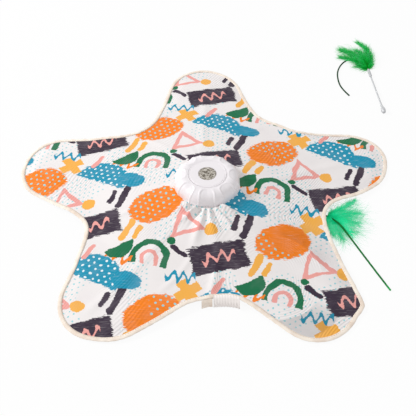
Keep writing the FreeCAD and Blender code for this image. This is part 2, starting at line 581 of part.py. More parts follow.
def cells_and_door():
    bay_left = "(-@bay_length / 2)"
    cells, contacts = [], []
    level = f"({UNDERSIDE} + @door_thickness + @cell_radius + @cell_lift)"
    for index in range(int(size("@cell_count"))):
        y = f"@bay_y + @cell_pitch * ({index} - (@cell_count - 1) / 2)"
        side = 1 if index % 2 == 0 else -1
        can = cylinder(f"cell_{index + 1}_can", "@cell_radius", "@cell_length - @cell_nub")
        nub = cylinder(f"cell_{index + 1}_nub", "1.9", "@cell_nub", z="@cell_length - @cell_nub")
        cell = fuse(f"cell_{index + 1}", can, nub)
        cell.Placement = Placement(Vector(), Rotation(Vector(0, 1, 0), 90 * side))
        place(cell, f"{-side} * @cell_length / 2", y, level)
        cells.append(cell)
        for end in (-1, 1):
            # a bent strip: flat against the bay's end wall, with a tongue that leans on the cell
            wall = f"({end} * @bay_length / 2)"
            rise = f"({end} * @contact_sheet)"
            tongue = f"({end} * (@cell_length / 2 + 0.1))"
            strip = plate(f"contact_{index + 1}_{'minus' if end < 0 else 'plus'}", [
                (wall, "-3.5"), (wall, "3.5"), (f"{wall} - {rise}", "3.5"), (f"{wall} - {rise}", "-2.6"),
                (f"{tongue} + {rise}", "0.6"), (f"{tongue} + {rise}", "2.6"), (tongue, "2.6"),
                (tongue, "0.3"), (f"{wall} - {rise}", "-3.5"),
            ], "6")
            contacts.append(place(strip, 0, y, f"{level} - 3"))
    keep(group("cells_group", *cells), "battery_cells")
    keep(group("contacts_group", *contacts), "battery_contacts")
    # sliding door: a leaf with a tongue on each side, cut to the base's rim, with grip grooves
    near = f"({BAY_NEAR} - @door_gap)"
    top = f"({UNDERSIDE} + @door_thickness)"
    leaf = channel("door_leaf", "@bay_length / 2 - @door_gap", UNDERSIDE, top, near)
    tongue_under = f"{UNDERSIDE} + @door_lip + 0.1"
    tongues = channel("door_tongues", "@bay_length / 2 + @door_tongue", tongue_under, top, near)
    rim = turned("door_rim", BASE_SIDE + [("0", DECK_UNDER)])
    grips = [box(f"grip_{index + 1}", "18", "0.8", "0.5", 0, f"-@base_radius + 9 + {index * 2}", UNDERSIDE)
             for index in range(5)]
    keep(cut("door", common("door_whole", fuse("door_slab", leaf, tongues), rim), *grips), "battery_door")


def carrier():
    disc = turned("carrier_disc", [
        ("0", CARRIER_UNDER), ("@carrier_radius", CARRIER_UNDER), ("@carrier_radius", CARRIER_TOP),
        ("0", CARRIER_TOP),
    ])
    gap = "2 * @hook_gap"
    slots = round_ring("hook_slot", "@hook_circle + @hook_barb / 2", 4, lambda name, x, y, angle: turned_box(
        name, f"@hook_wall + @hook_barb + {gap}", f"@hook_width + {gap}", "@carrier_thickness", x, y,
        CARRIER_UNDER, angle), start=45)
    holes = round_ring("carrier_hole", "@column_radius - @column_wall - 2.2", 3,
                       lambda name, x, y, angle: cylinder(
                           name, "@pilot_radius", "@carrier_thickness", x, y, CARRIER_UNDER), start=90)
    keep(cut("carrier_whole", disc, *slots, *holes), "mat_carrier")


def dome_section(inset, steps):
    """The cap's section at an inset from its outer surface: a short skirt, then a quarter oval."""
    across, rise = "(@cap_radius - @dome_top)", "(@cap_height - @cap_skirt)"
    points = [("0", MAT_TOP), (f"@cap_radius - {inset}", MAT_TOP)]
    for step in range(steps + 1):
        angle = 90 * step / steps
        points.append((f"@dome_top + ({across} - {inset}) * cos({angle})",
                       f"{MAT_TOP} + @cap_skirt + ({rise} - {inset}) * sin({angle})"))
    points.append(("0", f"{CAP_TOP} - {inset}"))
    return points


def flower_cap():
    dome = turned("dome", dome_section("0", 5))
    inner = "(@cap_radius - @cap_wall)"
    hollow = turned("dome_hollow", [
        ("0", MAT_TOP), (inner, MAT_TOP), (inner, f"{MAT_TOP} + @cap_skirt"),
        (f"@dome_top + 0.7 * ({inner} - @dome_top)", f"{MAT_TOP} + 0.62 * @cap_height"),
        ("@lid_radius", f"{LID_UNDER} - @cap_wall"), ("0", f"{LID_UNDER} - @cap_wall"),
    ])
    seat = cylinder("lid_seat", "@lid_radius + @lid_gap", "@lid_thickness", z=LID_UNDER)
    groove = sleeve("ring_groove_cut", "@lid_radius + @lid_gap + @ring_offset - @ring_groove",
                    "@lid_radius + @lid_gap + @ring_offset", "@ring_groove", f"{CAP_TOP} - @ring_groove")
    # eight arch topped flutes are sunk to a second, lower dome and leave eight petals standing
    lower = turned("lower_dome", dome_section("@flute_depth", 5))
    count = int(size("@petal_count"))
    first = "-92"
    flutes = []
    for index in range(count):
        reach, top = "@cap_radius + 6", "@flute_top + @flute_top_width / 2"
        half, half_top = "@flute_width / 2", "@flute_top_width / 2"
        body = plate(f"flute_{index + 1}", [
            (reach, f"-({half})"), (reach, half), (top, half_top),
            (top, f"-({half_top})", "@flute_top_width * 0.56", -1),
        ], "@cap_height + 4", z=MAT_TOP)
        bind(body, Placement__Rotation__Angle=f"{first} + {360 / count * index}")
        flutes.append(body)
    panels = cut("flute_panels", fuse("flute_prisms", *flutes), lower)
    # the rim is scalloped: each petal ends in a round lobe, with a notch between it and the next
    rim = []
    for index in range(count):
        middle = f"{first} + {360 / count * index}"
        lobe = 360 / count / 2 - 2.5
        rim.append((*polar("@cap_radius - @scallop_depth", f"{middle} - {lobe}"), "@cap_radius", -1))
        rim.append((*polar("@cap_radius - @scallop_depth", f"{middle} + {lobe}"), "@cap_radius * 0.68", -1))
    scallop = plate("scallop", rim, "@cap_height + 4", z=MAT_TOP)
    # a low seam runs down the border between two petals and ends in the notch
    run = "(@cap_radius + 2 - @seam_start)"
    borders = round_ring("seam_block", f"@seam_start + {run} / 2", count,
                         lambda name, x, y, angle: turned_box(
                             name, run, "@seam_width", "@cap_height", x, y, MAT_TOP, angle),
                         start=f"{first} + {180 / count}")
    higher = turned("seam_dome", dome_section("(-@seam_height)", 5))
    seams = common("seams", fuse("seam_blocks", *borders), higher)
    hook_z = f"{CARRIER_UNDER} - @hook_barb"
    leg = f"{MAT_TOP} + @cap_height * 0.72 - ({hook_z})"
    legs = round_ring("hook_leg", "@hook_circle", 4, lambda name, x, y, angle: turned_box(
        name, "@hook_wall", "@hook_width", leg, x, y, hook_z, angle), start=45)
    barbs = round_ring("hook_barb_block", "@hook_circle + @hook_wall / 2 + @hook_barb / 2 - 0.1", 4,
                       lambda name, x, y, angle: turned_box(
                           name, "@hook_barb + 0.2", "@hook_width", "@hook_barb - 0.1", x, y, hook_z, angle),
                       start=45)
    lobed = common("cap_lobed", fuse("cap_seamed", dome, seams), scallop)
    shell = cut("cap_shell", lobed, hollow, seat, groove, panels)
    keep(fuse("cap_whole", shell, *legs, *barbs), "flower_cap")


def lid_and_tablet():
    bore = "@tablet_radius + @tablet_gap"
    seat = f"{LID_UNDER} + 0.8"
    rim = "(@lid_radius - 1.6)"
    lid = turned("lid", [
        ("@tablet_radius - 2", LID_UNDER), ("@lid_radius", LID_UNDER), ("@lid_radius", CAP_TOP),
        (rim, CAP_TOP), (f"{rim} - 0.5", f"{CAP_TOP} - 0.5"), (f"{rim} - 1", CAP_TOP),
        (bore, CAP_TOP), (bore, seat), ("@tablet_radius - 2", seat),
    ])
    keep(lid, "cap_lid")
    edge = f"{CAP_TOP} - 0.2"
    tablet = turned("tablet", [
        ("0", seat), ("@tablet_radius", seat), ("@tablet_radius", edge),
        ("@tablet_radius - 1.5", f"{edge} + @tablet_crown"), ("0", f"{edge} + @tablet_crown"),
    ])
    keep(tablet, "catnip_tablet")


def mat_section(low, high):
    """A slice of the mat, draped from carrier to floor, between two heights above its underside."""
    flat = size(CARRIER_TOP) + size("@ply_gap")
    tip = size("@star_reach") + 0.6
    bend = size("@star_reach - @mat_tip_length")
    # the underside of the binding meets the floor at the star's tips
    slope = (size("@mat_arm_level") - size("@binding_wall")) / (tip - bend)
    levels = [
        (size("@bore_hem"), flat), (size("@carrier_radius") + 2, flat),
        (size("@mat_brow_reach"), size("@mat_brow_level")), (size("@notch_reach"), size("@mat_notch_level")),
        (bend, size("@mat_arm_level")), (tip + 5, size("@binding_wall") - slope * 5),
    ]
    lower = [Vector(r, 0, z + low) for r, z in levels]
    upper = [Vector(r, 0, z + high) for r, z in reversed(levels)]
    face = Part.Face(Part.makePolygon(lower + upper + lower[:1]))
    return face.revolve(Vector(), Vector(0, 0, 1), 360)


def star_prism(inset):
    """The mat's outline moved inwards, as a tall prism: five round tips joined to five round notches."""
    tip, notch = size("@tip_radius") - inset, size("@notch_radius") + inset
    tip_centre = size("@star_reach") - size("@tip_radius")
    notch_centre = size("@notch_reach") + size("@notch_radius")
    half = math.radians(36)
    tip_at, notch_at = on_circle(tip_centre, 0), on_circle(notch_centre, half)
    across = notch_at - tip_at
    # the straight side is the inner tangent of the tip's and the notch's circles
    lean = math.acos((tip + notch) / across.Length)
    bearing = math.atan2(across.y, across.x) - lean
    side = Vector(math.cos(bearing), math.sin(bearing), 0)
    tip_end, notch_start = tip_at + side * tip, notch_at - side * notch
    edges = []
    for index in range(5):
        turn = Rotation(Vector(0, 0, 1), 18 + 72 * index)
        back = Rotation(Vector(0, 0, 1), 18 + 72 * index + 72)
        mirrored = Vector(tip_end.x, -tip_end.y, 0)
        edges.append(Part.Arc(turn * mirrored, turn * on_circle(size("@star_reach") - inset, 0),
                              turn * tip_end).toShape())
        edges.append(Part.LineSegment(turn * tip_end, turn * notch_start).toShape())
        mirrored_notch = back * Vector(notch_start.x, -notch_start.y, 0)
        edges.append(Part.Arc(turn * notch_start, turn * on_circle(notch_centre - notch, half),
                              mirrored_notch).toShape())
        edges.append(Part.LineSegment(mirrored_notch, back * Vector(tip_end.x, -tip_end.y, 0)).toShape())
    face = Part.Face(Part.Wire(edges))
    face.translate(Vector(0, 0, -5))
    return face.extrude(Vector(0, 0, 60))


def mat():
    cloth, gap = size("@cloth"), size("@ply_gap")
    top = 2 * cloth + gap
    inside = star_prism(1.0)
    keep(feature("lining", mat_section(0, cloth).common(inside)), "mat_lining")
    keep(feature("print", mat_section(cloth + gap, top).common(inside)), "mat_print")
    # binding tape folded round the edge of both cloths
    wall = size("@binding_wall")
    tape = mat_section(-wall, top + wall).common(star_prism(-0.6).cut(star_prism(size("@binding_width"))))
    slit = mat_section(-0.02, top + 0.02).common(star_prism(0.98))
    keep(feature("binding", tape.cut(slit)), "mat_binding")


def turned_part(points):
    """A solid turned about Z from a closed section of radius and level that starts and ends on the axis."""
    corners = [Vector(r, 0, z) for r, z in points]
    return Part.Face(Part.makePolygon(corners + corners[:1])).revolve(Vector(), Vector(0, 0, 1), 360)


def plug_shape():
    """A pear shaped grip: blunt at the blind end, tapering to the rod."""
    radius, length, neck = size("@plug_radius"), size("@plug_length"), size("@rod_radius") + 0.5
    return turned_part([
        (0, 0), (radius * 0.62, 0), (radius, length * 0.24), (radius * 0.86, length * 0.5),
        (neck, length * 0.84), (neck, length), (0, length),
    ])


def sleeve_shape():
    """A clear sleeve shrunk over the end of the rod and the quills."""
    radius, length, rod = size("@sleeve_radius"), size("@sleeve_length"), size("@rod_radius")
    solid = turned_part([
        (0, 0), (radius * 0.75, 0), (radius, 2.5), (radius, length - 2.5), (radius * 0.8, length),
        (0, length),
    ])
    return solid.cut(Part.makeCylinder(rod + 0.05, length * 0.6))


def tube(points, radii, radius):
    """A round cord: a cylinder for each straight run and a ring segment for each bend."""
    pieces, here, length = [], points[0], 0
    for before, corner, after, bend in zip(points, points[1:], points[2:], radii):
        into, out = (corner - before).normalize(), (after - corner).normalize()
        turn = into.getAngle(out)
        start = corner - into * bend * math.tan(turn / 2)
        centre = corner + (out - into).normalize() * (bend / math.cos(turn / 2))
        pieces.append(Part.makeCylinder(radius, (start - here).Length, here, into))
        section = Part.Face(Part.Wire(Part.Circle(start, into, radius).toShape()))
        pieces.append(section.revolve(centre, into.cross(out), math.degrees(turn)))
        length += (start - here).Length + bend * turn
        here = corner + out * bend * math.tan(turn / 2)
    pieces.append(Part.makeCylinder(radius, (points[-1] - here).Length, here, points[-1] - here))
    length += (points[-1] - here).Length
    return pieces[0].fuse(pieces[1:]).removeSplitter(), length


def fan_shape(level):
    """The space of the downy tuft: a flat fan of plumes, humped at the sleeve that binds the quills."""
    reach, spread, plumes = size("@fan_reach"), math.radians(size("@fan_spread")), int(size("@plume_count"))
    edges = []
    for index in range(plumes):
        before = -spread / 2 + spread * index / plumes
        after = before + spread / plumes
        edges.append(Part.Arc(on_circle(reach * 0.93, before), on_circle(reach, (before + after) / 2),
                              on_circle(reach * 0.93, after)).toShape())
    first, last = edges[0].Vertexes[0].Point, edges[-1].Vertexes[-1].Point
    near = on_circle(2.6, math.radians(70)), on_circle(2.6, -math.radians(70))
    edges.append(Part.LineSegment(last, near[0]).toShape())
    edges.append(Part.LineSegment(near[0], near[1]).toShape())
    edges.append(Part.LineSegment(near[1], first).toShape())
    prism = Part.Face(Part.Wire(edges)).extrude(Vector(0, 0, level + 5))
    under, over = 0.7, 0.7 + size("@fan_thickness")
    space = turned_part([(0, under), (reach + 5, under), (reach + 5, over), (size("@hump_radius"), over),
                         (0, level + 2.4)])
    return prism.common(space)


def tuft(end, angle, turn):
    """A tuft in place: its root at the sleeve's end, its down lying on the floor."""
    solid = fan_shape(end.z)
    solid.Placement = Placement(Vector(end.x, end.y, 0), Rotation(Vector(0, 0, 1), angle + turn))
    return solid


def tail(name, place_at, distance, angle, route, diameter):
    """A cord along straight runs and tangent arcs, each arc as large as its runs allow."""
    start = place_at.multVec(Vector(distance, 0, 0))
    along, left = on_circle(1, math.radians(angle)), on_circle(1, math.radians(angle + 90))
    points = [start, place_at.multVec(Vector(distance + size(f"@{name}_first_run"), 0, 0))]
    for ahead, aside, level in route:
        point = start + along * ahead + left * aside
        points.append(Vector(point.x, point.y, level))
    radii = []
    for before, corner, after in zip(points, points[1:], points[2:]):
        into, out = corner - before, after - corner
        radii.append(0.45 * min(into.Length, out.Length) / math.tan(into.getAngle(out) / 2))
    solid, length = tube(points, radii, diameter / 2)
    expected = math.pi * diameter ** 2 / 4 * length
    print(name, "tail points", [tuple(round(value, 2) for value in point) for point in points])
    print("length", round(length, 1), "radii", [round(radius) for radius in radii],
          "volume ratio", round(solid.Volume / expected, 4))
    return solid


def wand(prefix, place_at, fan_turn, route, angle):
    """A whole wand: plug, rod, sleeve, tuft and tail. Local X runs out along it."""
    upright = place_at.multiply(Placement(Vector(), Rotation(Vector(0, 1, 0), 90)))
    plug, rod, sleeve_length = size("@plug_length"), size("@rod_length"), size("@sleeve_length")

    def put(node, shape, distance):
        where = upright.multiply(Placement(Vector(0, 0, distance), Rotation()))
        keep(feature(node + "_solid", shape, where), node)

    put(prefix + "_plug", plug_shape(), 0)
    rod_shape = Part.makeCylinder(size("@rod_radius"), rod + sleeve_length * 0.6 - 0.1)
    put(prefix + "_rod", rod_shape, plug)
    put(prefix + "_sleeve", sleeve_shape(), plug + rod)
    distance = plug + rod + sleeve_length
    end = place_at.multVec(Vector(distance, 0, 0))
    keep(feature(prefix + "_tuft_solid", tuft(end, angle, fan_turn)), prefix + "_tuft")
    cord = tail(prefix, place_at, distance, angle, route, size("@tail_diameter"))
    keep(feature(prefix + "_tail_solid", cord), prefix + "_tail")


def wands():
    place_at = wand_placement()
    total = size("@plug_length + @rod_length + @sleeve_length")
    wand("wand", place_at, size("@fan_turn"), TAIL_ROUTE, size("@wand_angle"))
    # rubber ring in the socket's mouth, which grips the neck of the plug
    mouth = size("@socket_length") - 1.2
    length = size("@grommet_length")
    start = Vector(0, 0, mouth - length)
    ring = Part.makeCylinder(size(PLUG_BORE), length, start)
    ring = ring.cut(Part.makeCylinder(size("@grommet_radius"), length, start))
    keep(along_wand(feature("grommet", ring)), "socket_grommet")
    # the spare lies on the floor beside the mat, on the round of its plug and on its sleeve
    plug, end = size("@plug_radius"), size("@sleeve_radius")
    tilt = math.degrees(math.asin((plug - end) / (total * 0.85)))
    turn = Rotation(Vector(0, 0, 1), size("@spare_angle")).multiply(Rotation(Vector(0, 1, 0), tilt))
    level = plug + size("@plug_length") * 0.36 * math.sin(math.radians(tilt))
    spare_at = Placement(Vector(size("@spare_x"), size("@spare_y"), level), turn)
    wand("spare", spare_at, size("@spare_fan_turn"), SPARE_TAIL_ROUTE, size("@spare_angle"))


def ribbon(name, middles, width, thickness, z):
    """A flat lead seen from above: a band of even width along a line of points."""
    left, right = [], []
    for index, here in enumerate(middles):
        before = middles[index - 1] if index else here - (middles[1] - here)
        after = middles[index + 1] if index + 1 < len(middles) else here + (here - middles[index - 1])
        into, out = (here - before).normalize(), (after - here).normalize()
        lean = (into + out).normalize()
        side = Vector(-lean.y, lean.x, 0) * (width / 2 / math.cos(into.getAngle(out) / 2))
        left.append(here + side)
        right.append(here - side)
    face = Part.Face(Part.makePolygon(left + right[::-1] + left[:1]))
    return feature(name, face.extrude(Vector(0, 0, thickness)), Placement(Vector(0, 0, z), Rotation()))


def leads():
    """Flat twin leads inside the base: from the board to the motor, and from the cells to the board."""
    width, thickness = size("@lead_width"), size("@lead_thickness")
    board_z = size(UNDERSIDE) + size("@board_level")
    motor_x, motor_y = size(MOTOR_X), size(MOTOR_Y)
    start_x, start_y = size("@board_x - 8.5"), size("@board_y - 4")
    aim = motor_y - size("@motor_flat") / 2
    motor_lead = ribbon("motor_lead", [
        Vector(start_x, start_y, 0), Vector(start_x - 22, start_y - 1, 0),
        Vector(motor_x + 6, start_y + 1.5, 0), Vector(motor_x, start_y + 5, 0), Vector(motor_x, aim, 0),
    ], width, thickness, size(FLOOR_TOP) + 6.2)
    bay_end = size("@bay_length / 2 + @bay_wall")
    side_y, edge_y = size(f"{BAY_NEAR} - 6"), size("@board_y - @board_width / 2")
    cell_lead = ribbon("cell_lead", [
        Vector(bay_end, side_y, 0), Vector(bay_end + 4, side_y, 0), Vector(bay_end + 6.5, side_y + 3, 0),
        Vector(bay_end + 6.5, edge_y, 0),
    ], width, thickness, board_z)
    keep(group("lead_group", motor_lead, cell_lead), "leads")


rubber_feet()
base_housing()
gear_deck()
fixing_screws()
rotor()
gear_train()
board_and_switch()
cells_and_door()
carrier()
flower_cap()
lid_and_tablet()
mat()
wands()
leads()
doc.recompute()

faults = [thing.Name for thing in doc.Objects if {"Invalid", "Error"} & set(thing.State)]
faults += [node for node, thing in nodes.items() if thing.Shape.isNull() or not thing.Shape.isValid()]
if faults:
    raise RuntimeError(f"These did not build: {faults}")
for node, thing in nodes.items():
    thing.Shape.exportStep(f"parts/{node}.step")
print(len(nodes), "nodes,", sum(len(thing.Shape.Solids) for thing in nodes.values()), "solids")
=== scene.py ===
# %% [markdown]
# # A floor toy for cats, dressed for its picture
# A round base hides a motor that sweeps a springy wand under a star shaped mat.
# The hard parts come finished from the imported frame. This script dresses them: it drapes and prints
# the mat, combs the feathers, and gives every part its material.

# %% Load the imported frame
import math

import bmesh
import bpy
import numpy as np
from mathutils import Matrix, Vector
from mathutils.kdtree import KDTree


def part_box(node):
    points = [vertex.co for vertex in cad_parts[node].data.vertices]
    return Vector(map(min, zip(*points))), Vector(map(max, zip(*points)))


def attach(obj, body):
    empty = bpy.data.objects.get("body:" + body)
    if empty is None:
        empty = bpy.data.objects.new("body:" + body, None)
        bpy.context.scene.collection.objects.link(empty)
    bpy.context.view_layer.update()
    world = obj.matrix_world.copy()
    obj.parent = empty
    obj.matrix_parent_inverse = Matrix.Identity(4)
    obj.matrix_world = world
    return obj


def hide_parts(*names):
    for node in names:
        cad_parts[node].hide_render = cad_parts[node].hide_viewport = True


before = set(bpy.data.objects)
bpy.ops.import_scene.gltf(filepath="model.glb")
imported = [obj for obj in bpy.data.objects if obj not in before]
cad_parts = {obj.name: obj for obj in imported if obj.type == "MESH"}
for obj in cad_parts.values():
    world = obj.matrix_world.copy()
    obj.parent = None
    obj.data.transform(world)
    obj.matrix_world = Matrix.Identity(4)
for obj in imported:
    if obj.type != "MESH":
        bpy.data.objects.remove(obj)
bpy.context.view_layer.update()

MM = 0.001
print("nodes in the frame:", len(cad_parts))

# %% [markdown]
# ## The camera
# The picture was taken from in front and above, at nearly 48 degrees, from about 1.25 m away. The long
# lens keeps the far arm of the star almost as large as the near ones. The eye is placed first, because
# the cords may not run far out of its view.

# %% Place the camera
VIEW_TURN = math.radians(1.26)
VIEW_RISE = math.radians(47.58)
VIEW_DISTANCE = 1.246
target = Vector((0.0006, -0.023, 0))
forward = Vector((math.sin(VIEW_TURN) * math.cos(VIEW_RISE), math.cos(VIEW_TURN) * math.cos(VIEW_RISE),
                  -math.sin(VIEW_RISE)))
camera = bpy.data.objects.new("camera", bpy.data.cameras.new("camera"))
camera.data.sensor_width = 36
camera.data.lens = 63.6
camera.location = target - forward * VIEW_DISTANCE
camera.rotation_mode = "QUATERNION"
camera.rotation_quaternion = forward.to_track_quat("-Z", "Y")
camera.data.clip_start = 0.05
camera.data.clip_end = 20
bpy.context.scene.collection.objects.link(camera)
bpy.context.scene.camera = camera
print("camera at", [round(c, 3) for c in camera.location])


# %% [markdown]
# ## A helper that finishes a piece
# Every new piece starts as a bmesh. This helper turns it into an object at the origin, with smooth
# faces, its material, and the body of the toy that it moves with.

# %% Turn a bmesh into a piece
def settle(form, name, body, material):
    mesh = bpy.data.meshes.new(name)
    form.to_mesh(mesh)
    form.free()
    mesh.polygons.foreach_set("use_smooth", [True] * len(mesh.polygons))
    piece = bpy.data.objects.new(name, mesh)
    bpy.context.scene.collection.objects.link(piece)
    mesh.materials.append(material)
    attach(piece, body)
    print(name, "faces:", len(mesh.polygons))
    return piece


def coordinates(mesh):
    flat = np.zeros(len(mesh.vertices) * 3)
    mesh.vertices.foreach_get("co", flat)
    return flat.reshape(-1, 3)


def set_coordinates(mesh, points):
    mesh.vertices.foreach_set("co", np.asarray(points, float).ravel())
    mesh.update()


def smooth_step(low, high, x):
    t = np.clip((np.asarray(x, float) - low) / (high - low), 0, 1)
    return t * t * (3 - 2 * t)


def next_row(form, row, edges):
    """Extrudes a closed row of vertices once. The new row comes in the same order, with its edges."""
    made = bmesh.ops.extrude_edge_only(form, edges=edges)["geom"]
    known = {tuple(vertex.co): k for k, vertex in enumerate(row)}
    new = [None] * len(row)
    for item in made:
        if isinstance(item, bmesh.types.BMVert):
            new[known[tuple(item.co)]] = item
    return new, [item for item in made if isinstance(item, bmesh.types.BMEdge)]


# %% [markdown]
# ## Shader maths as Python
# A material is a graph of small sums. Written as nodes it is long, and written as Python expressions it
# reads like the sum that it is. `Field` wraps one output of a node, and each operator adds a Math node.

# %% A number that varies over a surface
class Field:
    def __init__(self, tree, socket=None):
        self.tree, self.socket = tree, socket

    def node(self, kind, settings=None, inputs=None, output=0):
        """Adds any node: its settings first, then the values or links of its sockets."""
        made = self.tree.nodes.new("ShaderNode" + kind)
        for key, value in (settings or {}).items():
            if key == "stops":
                ramp = made.color_ramp
                while len(ramp.elements) < len(value):
                    ramp.elements.new(0.5)
                for element, (position, colour) in zip(ramp.elements, value):
                    element.position = position
                    element.color = (*colour, 1)
            else:
                setattr(made, key, value)
        for key, value in (inputs or {}).items():
            if isinstance(value, Field):
                self.tree.links.new(value.socket, made.inputs[key])
            else:
                made.inputs[key].default_value = value
        return Field(self.tree, made.outputs[output])

    def math(self, operation, *others):
        return self.node("Math", {"operation": operation}, dict(enumerate((self, *others))))

    def limited(self, low=0.0, high=1.0):
        return self.math("MAXIMUM", low).math("MINIMUM", high)

    def parts(self):
        """The three parts of a vector or a colour."""
        made = self.node("SeparateXYZ", {}, {0: self}).socket.node
        return [Field(self.tree, socket) for socket in made.outputs]

    def __add__(self, other):
        return self.math("ADD", other)

    def __sub__(self, other):
        return self.math("SUBTRACT", other)

    def __mul__(self, other):
        return self.math("MULTIPLY", other)

    def __truediv__(self, other):
        return self.math("DIVIDE", other)

    def __rsub__(self, other):
        return self.node("Math", {"operation": "SUBTRACT"}, {0: other, 1: self})

    def __abs__(self):
        return self.math("ABSOLUTE")

    __radd__ = __add__
    __rmul__ = __mul__


def rgb(red, green, blue):
    """A colour as it looks on screen, from 0 to 255, as the shader's linear numbers."""
    channel = [c / 255 for c in (red, green, blue)]
    return tuple(c / 12.92 if c <= 0.04045 else ((c + 0.055) / 1.055) ** 2.4 for c in channel)


def blank_material(name, constants):
    """A material whose shader has its constant values, and a Field to start sums from."""
    material = bpy.data.materials.new(name)
    material.use_nodes = True
    for socket, value in constants.items():
        material.node_tree.nodes["Principled BSDF"].inputs[socket].default_value = value
    return material, Field(material.node_tree)


def link(field, socket):
    """Feeds a Field to the shader of its own material."""
    field.tree.links.new(field.socket, field.tree.nodes["Principled BSDF"].inputs[socket])


def mix(factor, first, second, blend="MIX"):
    """A colour between two colours, by a Field or a number."""
    maker = factor if isinstance(factor, Field) else first
    first, second = (colour if isinstance(colour, Field) else (*colour, 1) for colour in (first, second))
    return maker.node("Mix", {"data_type": "RGBA", "blend_type": blend},
                      {0: factor, 6: first, 7: second}, output=2)


def noise(place, scale, detail=2.0, output=0):
    return place.node("TexNoise", {}, {"Vector": place, "Scale": scale, "Detail": detail}, output)


def object_place(start):
    return start.node("TexCoord", output="Object")


def object_noise(start, scale, detail=2.0):
    return noise(object_place(start), scale, detail)


def turned(place, degrees, scale=(1.0, 1.0, 1.0)):
    return place.node("Mapping", {}, {"Vector": place, "Scale": scale,
                                      "Rotation": (0, 0, math.radians(degrees))})


def wave(distance, pitch):
    """A sine wave along a distance, both in mm."""
    return (distance * (2 * math.pi / pitch)).math("SINE")


def bump(height, strength, distance, below=None):
    """A surface raised by a Field, on top of another bump where there is one."""
    under = {"Normal": below} if below else {}
    return height.node("Bump", {}, {"Strength": strength, "Distance": distance, "Height": height, **under})


print("shader helpers ready")


# %% [markdown]
# ## Materials for the hard parts
# Moulded plastic is never quite even: a fine grain breaks up its gloss, and the colour drifts by a
# percent or two. Steel carries a drawn grain. One function for each family keeps them alike.

# %% Moulded plastic, rubber and metal
def moulded(name, colour, roughness, grain=900.0, relief=0.00002, drift=0.02, coat=0.0):
    material, start = blank_material(name, {"Coat Weight": coat})
    fine = object_noise(start, grain)
    link(mix(object_noise(start, 35.0, 3.0), colour, tuple(c * (1 - 4 * drift) for c in colour)), "Base Color")
    link(roughness - 0.06 + fine * 0.12, "Roughness")
    link(bump(fine, 0.5, relief), "Normal")
    return material


def metal(name, colour, roughness):
    material, start = blank_material(name, {"Metallic": 1.0})
    grain = noise(turned(object_place(start), 0, (1, 1, 30)), 260.0, 3.0)
    link(mix(grain, colour, tuple(c * 0.82 for c in colour)), "Base Color")
    link(roughness - 0.07 + grain * 0.14, "Roughness")
    return material


white_plastic = moulded("white_plastic", rgb(232, 230, 233), 0.45)
cap_plastic = moulded("cap_plastic", rgb(243, 238, 241), 0.38, grain=1400.0, drift=0.006, coat=0.15)
gear_plastic = moulded("gear_plastic", rgb(228, 222, 208), 0.36)
black_plastic = moulded("black_plastic", rgb(30, 30, 32), 0.42)
foot_rubber = moulded("foot_rubber", rgb(48, 48, 52), 0.75, grain=600.0, relief=0.00005)
grommet_rubber = moulded("grommet_rubber", rgb(212, 210, 208), 0.6)
wire_cover = moulded("wire_cover", rgb(176, 36, 30), 0.4)
steel = metal("steel", (0.60, 0.60, 0.61), 0.28)
brass = metal("brass", (0.72, 0.52, 0.22), 0.25)


# %% [markdown]
# ## Materials for the small electrical parts
# The cells wear a dark printed jacket with a bare metal end, and the board is green mask over copper.
# They show only through the open base, so a band and a speckle are enough.

# %% Cell jacket, board and clear plastic
CELL_JACKET_HALF = 20.6


def cell_jacket():
    material, start = blank_material("cell_jacket", {"Roughness": 0.3})
    x, _, _ = object_place(start).parts()
    bare = (abs(x) * 1000 - CELL_JACKET_HALF).math("GREATER_THAN", 0.0)
    jacket = mix(object_noise(start, 140.0, 4.0), rgb(36, 40, 50), rgb(58, 62, 74))
    link(mix(bare, jacket, (0.55, 0.55, 0.56)), "Base Color")
    link(bare, "Metallic")
    return material


def green_board():
    material, start = blank_material("green_board", {"Roughness": 0.22})
    link(start.node("TexBrick", {}, {
        "Vector": object_place(start), "Scale": 320.0, "Color1": (*rgb(14, 92, 52), 1),
        "Color2": (*rgb(20, 104, 60), 1), "Mortar": (*rgb(46, 130, 84), 1), "Mortar Size": 0.03,
    }), "Base Color")
    return material


def clear_plastic():
    """Soft clear plastic goes milky: some light passes, and most of it scatters back."""
    material, start = blank_material("clear_plastic", {"Transmission Weight": 0.25, "IOR": 1.46})
    cloud = object_noise(start, 220.0, 3.0)
    link(mix(cloud, rgb(226, 227, 229), rgb(206, 208, 211)), "Base Color")
    link(0.16 + cloud * 0.16, "Roughness")
    return material


# %% Dress the hard parts that show as they are
DRESSED = {
    white_plastic: ["base_housing", "gear_deck", "battery_door", "rotor_disc", "mat_carrier"],
    cap_plastic: ["cap_lid", "flower_cap"],
    gear_plastic: ["ring_gear", "rotor_bush", "compound_gear", "output_wheel", "output_pinion"],
    black_plastic: ["board_components", "switch_body", "switch_knob"],
    foot_rubber: ["rubber_feet"],
    grommet_rubber: ["socket_grommet"],
    wire_cover: ["leads"],
    steel: ["deck_screws", "carrier_screws", "gear_pin", "output_shaft", "motor", "motor_shaft",
            "battery_contacts"],
    brass: ["motor_pinion"],
    cell_jacket(): ["battery_cells"],
    green_board(): ["circuit_board"],
    clear_plastic(): ["wand_plug", "wand_rod", "wand_sleeve", "spare_plug", "spare_rod", "spare_sleeve"],
}
for material, names in DRESSED.items():
    for name in names:
        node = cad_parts[name]
        node.data.materials.clear()
        node.data.materials.append(material)
print("hard parts dressed:", sum(len(names) for names in DRESSED.values()))

# %% [markdown]
# ## The two tails
# Each wand ends in a thin dyed cord. It leaves the sleeve among the feathers, comes down to the floor
# and lies along it. A cord is one smooth NURBS line through a few control points: the line says how it
# lies, and its round section is swept along it afterwards.

